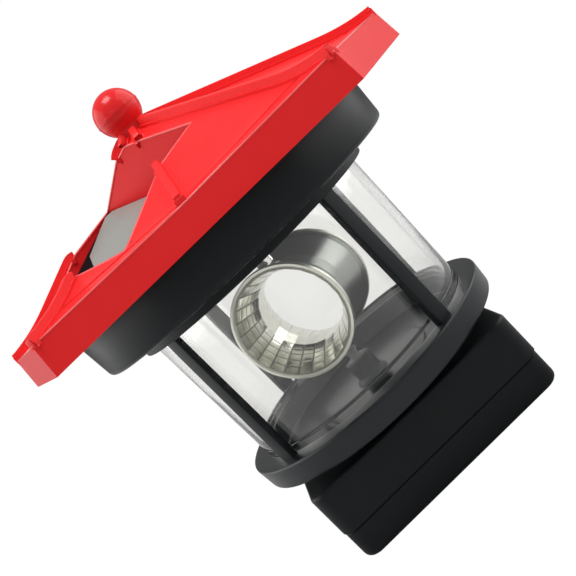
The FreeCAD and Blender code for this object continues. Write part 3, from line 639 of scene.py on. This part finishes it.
def headRing():
    s = ringSizes
    top = s["low"] + s["ceiling"]
    profile = [(s["hole"], s["low"]), (s["room"], s["low"], 0.4), (s["room"], s["collarLow"], 0.3),
               (s["collar"], s["collarLow"], 0.5), (s["collar"], s["low"], 0.4),
               (s["lowRadius"], s["low"], s["edge"]), (s["shoulder"], s["roofLow"], 0.3),
               (s["neck"], s["roofLow"]), (s["neck"], s["top"], 0.3), (s["neck"] - s["wall"], s["top"], 0.3),
               (s["lowRadius"] - s["wall"], top, 0.6), (s["hole"], top)]
    piece = build("headRing", [spun(eased(profile), segments=192)], blackPlastic, sharp=35)
    settle(piece, "housing", "black_plastic", "head_ring")


lanternBase()
glassTube()
cagePosts()
headRing()
print("lantern room ready")


lampSizes = dict(radius=2.5, tip=64.4, seat=75.96, flange=2.9, flangeHigh=1.0, steps=8)


def lamp():
    s = lampSizes
    middle = s["tip"] + s["radius"]
    profile = [(0, s["tip"])]
    for k in range(1, s["steps"] + 1):
        angle = math.pi / 2 * k / s["steps"]
        profile.append((s["radius"] * math.sin(angle), middle - s["radius"] * math.cos(angle)))
    back = s["seat"] + s["flangeHigh"]
    profile += [(s["radius"], s["seat"]), (s["flange"], s["seat"]), (s["flange"], back), (0, back)]
    piece = build("lamp", [spun(profile, segments=48)], clearLens, sharp=30)
    settle(piece, "housing", "led_lens", "led")


hubSizes = dict(
    shaft=1.5, low=14.6, foot=24.55, footRadius=5.0, footHigh=25.75, radius=3.9, top=31.0, bore=1.4,
    boreLow=27.0, edge=0.7)


def driveHub():
    s = hubSizes
    profile = [(0, s["low"]), (s["shaft"], s["low"], 0.2), (s["shaft"], s["foot"]),
               (s["footRadius"], s["foot"], 0.2), (s["radius"], s["footHigh"], 0.4),
               (s["radius"], s["top"], s["edge"]), (s["bore"], s["top"]), (s["bore"], s["boreLow"]),
               (0, s["boreLow"])]
    piece = build("driveHub", [spun(eased(profile), segments=64)], hubPlastic, sharp=35)
    settle(piece, "rotor", "grey_plastic", "drive_hub")


# stem holds (radius, height), lip holds (outwards, forwards) from the mouth's edge
hornSizes = dict(
    height=52.5, turn=-25.0, mouth=15.85, reach=13.5, waist=11.5, waistHalf=2.6, wall=1.1, curve=1.35,
    columns=24, rows=5, sideParts=5, hole=3.5, holeTop=30.0,
    lip=[(-0.745, -0.02), (-0.495, -0.35), (-0.375, -0.35), (-0.295, 0.0), (0.25, 0.0), (0.4, -0.15),
        (0.4, -1.2), (-0.1, -1.35)],
    stem=[(0, 27.0), (1.4, 27.0), (1.4, 33.2), (2.0, 33.3), (2.0, 33.9), (1.4, 34.1), (1.6, 36.2),
        (2.3, 38.4), (3.4, 40.15), (0, 40.35)])
platingLook = dict(
    outer=(0.34, 0.355, 0.34), dark=(0.66, 0.66, 0.59), light=(0.84, 0.835, 0.765),
    line=(0.13, 0.13, 0.11), lineWidth=0.06, lineStrength=0.75, farFade=0.85, lineHaze=0.25,
    cloudScale=120.0, roughness=0.19, roughSpread=0.10, outerHaze=0.15, facetStart=0.02, lipStart=0.885,
    slack=0.5, pillow=0.3, pillowSoft=0.2, waveDepth=0.25, waveScale=260.0, waveShare=0.3, bump=0.4)


# facet lines and pillows on the inside of the horn, and a duller outside
def facetedPlating(name, look, horn):
    material, net, place = newMaterial(name)
    across, depth, high = turnedPlace(net, place, horn["turn"])
    high = high - horn["height"]
    angle = net.math("ARCTAN2", high, across)
    share = (net.math("ABSOLUTE", depth) - horn["waistHalf"]) / (horn["reach"] - horn["waistHalf"])
    share = net.math("MAXIMUM", share, 0.0)
    radius = (across * across + high * high) ** 0.5
    farSide = depth > 0.0
    widening = horn["mouth"] - horn["wall"] - horn["waist"]
    inside = radius < share ** horn["curve"] * widening + horn["waist"] + look["slack"]
    column = angle * (horn["columns"] / (2 * math.pi)) + 0.5
    row = share * horn["rows"]
    nearest = net.math("MINIMUM", net.math("PINGPONG", column, 0.5), net.math("PINGPONG", row, 0.5))
    bright = net.math("MAXIMUM", inside, share > look["lipStart"])
    onFacets = inside * (share > look["facetStart"])
    line = (nearest < look["lineWidth"]) * onFacets
    broad = noiseOf(net, place, look["cloudScale"], detail=3.0)
    waves = noiseOf(net, place, look["waveScale"])
    clean = blendOf(net, bright, look["outer"], blendOf(net, broad, look["dark"], look["light"]))
    lineShare = line * look["lineStrength"] * (1 - farSide * look["farFade"])
    colour = blendOf(net, lineShare, clean, look["line"])
    pillow = net.math("SMOOTH_MIN", nearest, look["pillow"], look["pillowSoft"]) * onFacets
    bump = bumpOf(net, look["waveDepth"], look["bump"], pillow + waves * look["waveShare"])
    rough = look["roughness"] + (broad - 0.5) * look["roughSpread"]
    rough = rough + line * look["lineHaze"] + (1 - inside) * look["outerHaze"]
    return principled(material, net,
                      {"Base Color": colour, "Metallic": 1.0, "Roughness": rough, "Normal": bump})


plating = facetedPlating("plating", platingLook, hornSizes)


# the inner side's (forwards, radius) rows, from the waist to the mouth
def hornRows():
    s = hornSizes
    rows = []
    for row in range(s["rows"] + 1):
        share = row / s["rows"]
        rows.append((s["waistHalf"] + (s["reach"] - s["waistHalf"]) * share,
                     s["waist"] + (s["mouth"] - s["wall"] - s["waist"]) * share ** s["curve"]))
    return rows


# one loop round the horn, straight between the facets' corners or round
def hornLoop(radius, along, facets=True):
    columns, parts = hornSizes["columns"], hornSizes["sideParts"]
    points = []
    for k in range(columns * parts):
        share = k % parts / parts if facets else 0.0
        start = 2 * math.pi * ((k // parts if facets else k / parts) + 0.5) / columns
        end = start + 2 * math.pi / columns
        x = math.cos(start) * (1 - share) + math.cos(end) * share
        z = math.sin(start) * (1 - share) + math.sin(end) * share
        points.append((radius * x, -along, radius * z))
    return points


def reflector():
    s = hornSizes
    rows = hornRows()
    inner = [(-along, radius) for along, radius in reversed(rows)] + rows
    loops = [hornLoop(radius, along) for along, radius in inner]
    outer = [(s["mouth"] + outwards, s["reach"] + forwards) for outwards, forwards in s["lip"]]
    outer += [(radius + s["wall"], along) for along, radius in reversed(rows[:-1])]
    outer.append((s["waist"] + s["wall"], 0.0))
    loops += [hornLoop(radius, along, False) for radius, along in outer]
    loops += [hornLoop(radius, -along, False) for radius, along in reversed(outer[:-1])]
    piece = build("reflector", [looped(loops, closed=True)], plating, sharp=9)
    hole = spun([(0, 0), (s["hole"], 0), (s["hole"], s["holeTop"]), (0, s["holeTop"])], segments=48)
    carve(piece, build("cutter", [hole], None))
    stem = spun([(radius, z - s["height"]) for radius, z in s["stem"]], segments=48)
    carve(piece, build("stem", [stem], plating, sharp=30), "UNION")
    turnPiece(piece, s["turn"]).data.transform(Matrix.Translation((0, 0, s["height"] * mm)))
    piece = resharpened(piece, sharp=9)
    settle(piece, "rotor", "reflector_plating", "reflector")


lamp()
driveHub()
reflector()
print("reflector ready")


roofSizes = dict(
    turn=-4.0, low=85.3, cornerEave=93.9, middleEave=93.1, halfLength=66.2, halfWidth=51.0,
    frontHalf=45.6, draft=0.0016, apex=116.2, cornerSlope=0.379, middleSlope=0.476, cornerFlare=49.5,
    middleFlare=45.5, eaveSlope=0.06, wall=2.0, innerDrop=2.2, eaveEdge=0.3, eaveSteps=5,
    crease=((0.42, 0.0), (0.45, 0.5), (0.51, 0.5), (0.54, 0.0)), bodyDeep=12.0, sharp=12)
wellSizes = dict(
    direction=-135.0, wall=1.4, height=105.9, start=(6.5, -24.0), slope=(0.30, 0.266), plate=1.4,
    margin=0.3, cell=0.3, pocketFloor=92.0, above=130.0,
    corners=[(6.5, -24.3), (36.0, -24.1), (36.0, 19.6), (19.5, 19.8), (6.5, 24.3)],
    pocketCorners=[(36.0, -24.1), (43.5, -24.0), (46.5, -6.0), (46.5, 4.0), (43.5, 19.5), (36.0, 19.6)],
    cellCorners=[(8.8, -23.7), (22.9, -21.5), (27.5, -16.6), (28.0, -9.0), (27.0, -4.9), (7.2, -5.1),
        (7.2, -21.6)])


# the eave's corners and the middles of its long sides
def roofPlan():
    s = roofSizes
    length, front, width = s["halfLength"], s["frontHalf"], s["halfWidth"]
    return [(length, 0), (front, width), (0, width), (-front, width),
            (-length, 0), (-front, -width), (0, -width), (front, -width)]


# the way a ridge line points, and its points from the straight slope over the flare to the eave
def ribLine(number, inset=1.0, drop=0.0, flareSteps=10, crease=()):
    s = roofSizes
    x, y = roofPlan()[number]
    middle = number in (2, 6)
    eave = (s["middleEave"] if middle else s["cornerEave"]) - drop
    slope = s["middleSlope"] if middle else s["cornerSlope"]
    start = (s["middleFlare"] if middle else s["cornerFlare"]) * inset
    reach = math.hypot(x, y) * (1 - s["draft"] * (eave - s["low"])) * inset
    apex = s["apex"] - drop
    bend = (apex - eave - s["eaveSlope"] * reach) / (slope - s["eaveSlope"])
    way = Vector((x, y)).normalized()
    first = Vector((start, apex - slope * start))
    second = Vector((bend, apex - slope * bend))
    third = Vector((reach, eave))
    points = []
    marks = [(k / flareSteps, 0.0) for k in range(flareSteps + 1)]
    if crease:
        marks = [mark for mark in marks if not crease[0][0] - 0.01 < mark[0] < crease[-1][0] + 0.01]
    for t, sink in sorted(marks + list(crease)):
        point = first * (1 - t) ** 2 + second * 2 * t * (1 - t) + third * t ** 2
        points.append((way.x * point.x, way.y * point.x, point.y - sink))
    return way, points


def movedIn(point, back, down):
    x, y, z = point
    share = 1 - back / math.hypot(x, y)
    return (x * share, y * share, z - down)


def roofLoops(inset, drop):
    s = roofSizes
    outside = inset == 1.0
    lines = [ribLine(number, inset, drop, crease=s["crease"] if outside else ())[1] for number in range(8)]
    loops = [[(0, 0, s["apex"] - drop)]]
    loops += [[line[k] for line in lines] for k in range(len(lines[0]) - 1)]
    ends = [line[-1] for line in lines]
    if outside:
        edge = s["eaveEdge"]
        for k in range(s["eaveSteps"] + 1):
            angle = math.pi / 2 * k / s["eaveSteps"]
            back, down = edge * (1 - math.sin(angle)), edge * (1 - math.cos(angle))
            loops.append([movedIn(end, back, down) for end in ends])
    else:
        loops.append(ends)
    loops.append([(x * inset, y * inset, s["low"]) for x, y in roofPlan()])
    return loops


# from the well's own directions to the roof's
def wellPoint(u, v):
    turn = math.radians(wellSizes["direction"])
    return (u * math.cos(turn) - v * math.sin(turn), u * math.sin(turn) + v * math.cos(turn))


def grownCorners(corners, distance):
    result = []
    for k, (u, v) in enumerate(corners):
        last, after = corners[k - 1], corners[(k + 1) % len(corners)]
        inward = Vector((v - last[1], last[0] - u)).normalized()
        outward = Vector((after[1] - v, u - after[0])).normalized()
        share = distance / (1 + inward.dot(outward))
        result.append((u + (inward.x + outward.x) * share, v + (inward.y + outward.y) * share))
    return result


# the tilted plane of the panel, as a height over x and y
def panelPlane(drop):
    w = wellSizes
    turn = math.radians(w["direction"])

    def height(x, y):
        along = x * math.cos(turn) + y * math.sin(turn) - w["start"][0]
        across = y * math.cos(turn) - x * math.sin(turn) - w["start"][1]
        return w["height"] - w["slope"][0] * along - w["slope"][1] * across - drop
    return height


def wellPrism(corners, grow, lowAt, material=None):
    outline = [wellPoint(u, v) for u, v in grownCorners(wellSizes[corners], grow)]
    return build("wellPrism", [prismOf(outline, lowAt, lambda x, y: wellSizes["above"])], material)


# a hollow roof, joined to the well's walls and floor, with the well cut out
def roofShell():
    s, w = roofSizes, wellSizes
    inner = roofLoops(1 - s["wall"] / s["halfWidth"], s["innerDrop"])
    outer = roofLoops(1.0, 0.0)
    piece = build("roof", [looped(outer + list(reversed(inner)))], redPlastic, s["sharp"])
    floorDrop = w["plate"] + w["cell"]
    tray = wellPrism("corners", w["wall"], panelPlane(floorDrop + w["wall"]), redPlastic)
    pocket = wellPrism("pocketCorners", w["wall"], lambda x, y: w["pocketFloor"] - w["wall"], redPlastic)
    carve(tray, pocket, "UNION")
    body = outer + [[(x, y, s["low"] - s["bodyDeep"]) for x, y, z in outer[-1]]]
    carve(tray, build("roofBody", [looped(body, capEnd=True)], redPlastic), "INTERSECT")
    carve(piece, tray, "UNION")
    carve(piece, wellPrism("corners", 0.0, panelPlane(floorDrop)))
    carve(piece, wellPrism("pocketCorners", 0.0, lambda x, y: w["pocketFloor"]))
    return piece


# each span is a ridge line's number and where along it the rib starts and ends
ribSizes = dict(
    foot=2.9, top=1.7, high=2.1, sink=1.2, edge=0.25, inset=0.5, steps=32, flareSteps=14, ledgeWidth=3.5,
    ledgeHigh=0.35, ledgeEdge=0.6, noseLength=2.2, noseLeast=0.2, noseDrop=0.4, sharp=9,
    spans=[(0, 3.0, 99), (1, 3.0, 99), (2, 3.0, 99), (3, 3.0, 99), (4, 3.0, 8.4), (4, 34.6, 99),
        (5, 3.0, 6.2), (5, 46.9, 99), (6, 3.0, 8.4), (6, 27.4, 99), (7, 3.0, 99)])


# points along a rib with its width's share, which shrinks to a rounded nose
def spanOf(number, first, last):
    s = ribSizes
    way, points = ribLine(number, flareSteps=s["flareSteps"])
    flat = [(0.0, roofSizes["apex"])] + [(math.hypot(x, y), z) for x, y, z in points]
    eave = flat[-1][0] - s["inset"]
    last = min(last, eave)
    cutEnd = last if last < eave else 2 * last  # a rib that meets the eave keeps its full width there

    def heightAt(radius):
        for (r0, z0), (r1, z1) in zip(flat, flat[1:]):
            if radius <= r1:
                return z0 + (z1 - z0) * (radius - r0) / (r1 - r0)
        return flat[-1][1]

    line = []
    for k in range(s["steps"] + 1):
        radius = first + (last - first) * (0.5 - 0.5 * math.cos(math.pi * k / s["steps"]))
        short = max(0.0, 1 - min(radius - first, cutEnd - radius) / s["noseLength"])
        width = max(s["noseLeast"], math.sqrt(1 - short * short))
        drop = (1 - width) * s["high"] * s["noseDrop"]
        line.append((way.x * radius, way.y * radius, heightAt(radius) - drop, width))
    return line


def roofRibs():
    s = ribSizes
    middle = (s["high"] - s["sink"]) / 2
    lines = [[(x, y, z + middle, width) for x, y, z, width in spanOf(*span)] for span in s["spans"]]
    sizes = {"Foot": s["foot"], "Top": s["top"], "Height": s["high"] + s["sink"], "Edge": s["edge"],
             "Ledge Width": s["ledgeWidth"], "Ledge Height": s["ledgeHigh"] + s["sink"],
             "Ledge Drop": (s["ledgeHigh"] - s["high"]) / 2}
    grower = Grower("roofRibs", {label: size * mm for label, size in sizes.items()})
    net = grower.net
    bar = {"Bottom Width": grower.value("Top"), "Top Width": grower.value("Foot"), "Offset": 0.0,
           "Height": grower.value("Height")}
    section = grower.rounded("TRAPEZOID", bar, grower.value("Edge"), 4)
    upright = net.add("GeometryNodeSetCurveNormal", {"mode": "Z_UP"}, {0: grower.value("Geometry")})
    bars = net.add("GeometryNodeCurveToMesh", None, {0: upright, 1: section, "Fill Caps": True})
    ledge = {"Width": grower.value("Ledge Width"), "Height": grower.value("Ledge Height")}
    step = grower.rounded("RECTANGLE", ledge, grower.value("Edge") * s["ledgeEdge"], 3)
    lowered = net.add("GeometryNodeTransform", None,
                      {0: upright, "Translation": grower.upwards(grower.value("Ledge Drop"))})
    ledges = net.add("GeometryNodeCurveToMesh", None, {0: lowered, 1: step, "Fill Caps": True})
    both = net.node("GeometryNodeJoinGeometry", None, {0: bars})
    net.tree.links.new(ledges.socket, both.inputs[0])
    mesh = grower.grow(curveHolder(lines), Tap(net, both.outputs[0]), redPlastic)
    return finishObject("roofRibs", mesh, redPlastic, s["sharp"])


beadSizes = dict(sides=12, eaveRadius=0.26, eaveSink=0.18, rimRadius=0.3, rimSink=0.16, rimSpacing=0.8)


# a thin round bead along a closed line, in the lighter red of a painted highlight
def edgeBead(name, points, radius):
    numbers = {"Radius": radius * mm, "Sides": beadSizes["sides"]}
    grower = Grower(name, numbers)
    ring = grower.net.add("GeometryNodeCurvePrimitiveCircle", None,
                          {"Resolution": grower.value("Sides"), "Radius": grower.value("Radius")})
    bead = grower.net.add("GeometryNodeCurveToMesh", None, {0: grower.value("Geometry"), 1: ring})
    holder = curveHolder([[(x, y, z, 1.0) for x, y, z in points]], closed=True)
    return finishObject(name, grower.grow(holder, bead, paintedHighlightPlastic), paintedHighlightPlastic, sharp=60)


# a rounded bead round the eave, in a lighter red that paints on the eave's highlight
def eaveBead():
    s = beadSizes
    ends = [ribLine(number)[1][-1] for number in range(8)]
    points = [movedIn(end, s["eaveSink"], s["eaveSink"]) for end in ends]
    return edgeBead("eaveBead", points, s["eaveRadius"])


# the rounded lip where the well's walls meet the roof's slopes, in a lighter red that paints on its highlight
def wellRim():
    s, w = beadSizes, wellSizes
    verts, faces = looped(roofLoops(1.0, 0.0))
    slopes = BVHTree.FromPolygons([Vector(v) for v in verts], faces)
    corners = [w["corners"][k] for k in (0, 4, 3, 2)] + [w["pocketCorners"][k] for k in (4, 3, 2, 1)]
    corners += [w["corners"][k] for k in (1, 0)]
    points = []
    for (u0, v0), (u1, v1) in zip(corners, corners[1:]):
        count = max(2, int(math.hypot(u1 - u0, v1 - v0) / s["rimSpacing"]))
        for k in range(count):
            x, y = wellPoint(u0 + (u1 - u0) * k / count, v0 + (v1 - v0) * k / count)
            x, y, z = slopes.ray_cast(Vector((x, y, w["above"])), Vector((0, 0, -1)))[0]
            points.append((x, y, z - s["rimSink"]))
    return edgeBead("wellRim", points, s["rimRadius"])


footSizes = dict(
    length=1.5, width=3.6, high=1.5, sink=0.8, inset=0.15, middleShare=0.8, cornerShare=0.62, edge=0.25)


# the short blocks where the ribs end over the eave
def ribFeet():
    s = footSizes
    parts = []
    for number in range(8):
        way, points = ribLine(number)
        side = Vector((-way.y, way.x))
        x, y, z = points[-1]
        reach = math.hypot(x, y) - s["inset"]
        half = s["width"] / 2 * (s["middleShare"] if number in (2, 6) else s["cornerShare"])
        outline = []
        for along, across in ((reach - s["length"], -1), (reach, -1), (reach, 1), (reach - s["length"], 1)):
            point = way * along + side * across * half
            outline.append((point.x, point.y))
        parts.append(prismOf(outline, lambda x, y: z - s["sink"], lambda x, y: z + s["high"]))
    return bevelled(build("ribFeet", parts, redPlastic, sharp=40), s["edge"], segments=3)


panelSizes = dict(plateEdge=0.2, cellEdge=0.08, sharp=30)
cellLook = dict(
    ground=(0.30, 0.31, 0.285), finger=(0.315, 0.325, 0.30), bar=(0.318, 0.328, 0.303), fingerPitch=1.6,
    fingerWidth=0.12, barPitch=9.0, barWidth=0.4, turn=-139.0, roughness=0.38, roughSpread=0.04,
    grainScale=900.0, grainDepth=0.03, ior=1.52, specular=0.2)


# fingers and bars of the cell under its clear laminate
def solarLaminate(name, look):
    material, net, place = newMaterial(name)
    across, along = turnedPlace(net, place, look["turn"])[:2]
    fingers = net.math("PINGPONG", across, look["fingerPitch"] / 2) < look["fingerWidth"] / 2
    bars = net.math("PINGPONG", along, look["barPitch"] / 2) < look["barWidth"] / 2
    fine = noiseOf(net, place, look["grainScale"], detail=3.0)
    colour = blendOf(net, bars, blendOf(net, fingers, look["ground"], look["finger"]), look["bar"])
    rough = look["roughness"] + (fine - 0.5) * look["roughSpread"]
    bump = bumpOf(net, look["grainDepth"], 0.1, fine)
    return principled(material, net, {"Base Color": colour, "Roughness": rough, "Normal": bump,
                                      "IOR": look["ior"], "Specular IOR Level": look["specular"]})


solarGlass = solarLaminate("solarGlass", cellLook)


def panelPiece(name, corners, low, high, material, edge):
    outline = [wellPoint(u, v) for u, v in corners]
    piece = build(name, [prismOf(outline, panelPlane(low), panelPlane(high))], material)
    return resharpened(turnPiece(bevelled(piece, edge), roofSizes["turn"]), panelSizes["sharp"])


def roofPieces():
    w, p = wellSizes, panelSizes
    turn = roofSizes["turn"]
    roof = resharpened(turnPiece(roofShell(), turn), roofSizes["sharp"])
    settle(roof, "housing", "roof_red", "roof_shell")
    for piece, sharp in ((roofRibs(), ribSizes["sharp"]), (wellRim(), 60), (eaveBead(), 60), (ribFeet(), 40)):
        settle(resharpened(turnPiece(piece, turn), sharp), "housing", "roof_red")
    corners = grownCorners(w["corners"], -w["margin"])
    plate = panelPiece("panelPlate", corners, w["plate"] + w["cell"], w["cell"], platePlastic, p["plateEdge"])
    settle(plate, "housing", "black_plastic", "solar_plate")
    cell = panelPiece("solarCell", w["cellCorners"], w["cell"], 0.0, solarGlass, p["cellEdge"])
    settle(cell, "housing", "solar_glass", "solar_cell")


ballSizes = dict(
    radius=6.4, height=121.3, seat=117.0, seatGap=0.4, crown=4.5, crownLow=112.5, crownFlare=0.3,
    seam=0.1, seamBand=0.05, steps=40)


def finial():
    s = ballSizes
    profile = [(0, s["crownLow"]), (s["crown"] + s["crownFlare"], s["crownLow"]),
               (s["crown"], s["seat"] - s["seatGap"], 0.3)]
    start = math.acos((s["height"] - s["seat"]) / s["radius"])
    for k in range(s["steps"]):
        angle = start + (math.pi - start) * k / s["steps"]
        r = s["radius"] * math.sin(angle)
        if abs(angle - math.pi / 2) < s["seamBand"]:
            r += s["seam"]
        profile.append((r, s["height"] - s["radius"] * math.cos(angle)))
    profile.append((0, s["height"] + s["radius"]))
    piece = build("finial", [spun(eased(profile), segments=96)], ballPlastic, sharp=40)
    settle(piece, "housing", "roof_red", "finial_ball")


roofPieces()
finial()
print("roof ready")


# the nodes that keep their own mesh
finishes = [
    (blackPlastic, "switch_body switch_knob"), (boxPlastic, "battery_door"), (greyPlastic, "gear_plate"),
    (whiteNylon, "idler_gear output_gear"), (turnedBrass, "motor_pinion shaft_bush"),
    (solderMask, "circuit_board led_board"), (batterySleeve, "battery"),
    (zincSteel, "door_screw cover_screws battery_contact spring_contact motor plate_screws motor_screws"),
    (zincSteel, "idler_pin roof_screws")]
for material, nodes in finishes:
    for node in nodes.split():
        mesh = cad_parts[node].data
        mesh.materials.clear()
        mesh.materials.append(material)
print("inner parts ready")


stageLook = dict(
    floorSize=6.0, floorShade=0.97, floorGlow=1.03, groundDark=(0.54, 0.54, 0.54),
    groundLight=(0.58, 0.58, 0.58), cloudScale=3.0, skyStrength=0.31, viewStrength=1.0)


# 1 where the camera sees the surface, straight or through clear plastic
def seenBy(net):
    path = net.node("ShaderNodeLightPath")
    return Tap(net, path.outputs["Is Camera Ray"]) + Tap(net, path.outputs["Is Transmission Ray"])


# pale to the eye, and a grey that keeps the object's shadow to the lamps
def floorMaterial():
    material, net, place = newMaterial("floor")
    fine = noiseOf(net, place, stageLook["cloudScale"])
    colour = blendOf(net, fine, stageLook["groundDark"], stageLook["groundLight"])
    ground = net.add("ShaderNodeBsdfDiffuse", None, {"Color": colour})
    glow = net.add("ShaderNodeEmission", None, {"Color": (1, 1, 1, 1), "Strength": stageLook["floorGlow"]})
    share = net.add("ShaderNodeMath", {"operation": "MULTIPLY", "use_clamp": True},
                    {0: seenBy(net), 1: stageLook["floorShade"]})
    return finished(material, net, net.add("ShaderNodeMixShader", None, {0: share, 1: ground, 2: glow}))


def makeFloor():
    half = stageLook["floorSize"] / 2
    mesh = bpy.data.meshes.new("floor")
    corners = [(-half, -half, 0), (half, -half, 0), (half, half, 0), (-half, half, 0)]
    mesh.from_pydata(corners, [], [(0, 1, 2, 3)])
    mesh.materials.append(floorMaterial())
    linked("floor", mesh)


def makeSky():
    world = bpy.data.worlds.new("sky")
    bpy.context.scene.world = world
    world.use_nodes = True
    net = Net(world.node_tree)
    seen = net.math("MINIMUM", seenBy(net), 1.0)
    strength = seen * (stageLook["viewStrength"] - stageLook["skyStrength"]) + stageLook["skyStrength"]
    glow = net.add("ShaderNodeBackground", None, {"Color": (1, 1, 1, 1), "Strength": strength})
    net.node("ShaderNodeOutputWorld", None, {"Surface": glow})


# places and targets in metres, powers in watts
lampPlan = [
    {"name": "topLight", "place": (0.03, -0.10, 0.62), "target": (0, 0, 0.08), "size": 0.24, "power": 2.1},
    {"name": "leftLight", "place": (-0.55, 0.09, 0.22), "target": (0, 0, 0.07), "size": 0.85, "power": 3.7},
    {"name": "rightLight", "place": (0.55, 0.04, 0.24), "target": (0, 0, 0.07), "size": 0.85, "power": 4.0},
    {"name": "frontLight", "place": (-0.15, -0.60, 0.40), "target": (0, 0, 0.07), "size": 0.25, "power": 0.1}]


def makeLamps():
    for plan in lampPlan:
        light = bpy.data.lights.new(plan["name"], "AREA")
        light.shape = "SQUARE"
        light.size = plan["size"]
        light.energy = plan["power"]
        thing = linked(plan["name"], light)
        thing.location = plan["place"]
        aim = Vector(plan["target"]) - Vector(plan["place"])
        thing.rotation_euler = aim.to_track_quat("-Z", "Y").to_euler()


# distance and height in millimetres, yaw, pitch and roll in radians, tilt in degrees
eye = dict(
    distance=269.38, height=92.66, lens=64.1, sensor=36.0, yaw=-0.0006, pitch=0.1280, roll=0.0100,
    tilt=45.0, near=0.01, far=20.0)


def makeCamera():
    yaw, pitch = eye["yaw"], eye["pitch"]
    ahead = Vector((math.sin(yaw) * math.cos(pitch), math.cos(yaw) * math.cos(pitch), -math.sin(pitch)))
    right = Vector((math.cos(yaw), -math.sin(yaw), 0.0))
    turn = Matrix((right, right.cross(ahead), -ahead)).transposed()
    turn = turn @ Matrix.Rotation(eye["roll"], 3, "Z") @ Matrix.Rotation(-math.radians(eye["tilt"]), 3, "Z")
    data = bpy.data.cameras.new("camera")
    data.lens = eye["lens"]
    data.sensor_width = eye["sensor"]
    data.sensor_fit = "HORIZONTAL"
    data.clip_start = eye["near"]
    data.clip_end = eye["far"]
    camera = linked("camera", data)
    camera.matrix_world = Matrix.Translation((0, -eye["distance"] * mm, eye["height"] * mm)) @ turn.to_4x4()
    bpy.context.scene.camera = camera


makeFloor()
makeSky()
makeLamps()
makeCamera()
bpy.context.scene.view_settings.view_transform = "Standard"
print("stage ready")
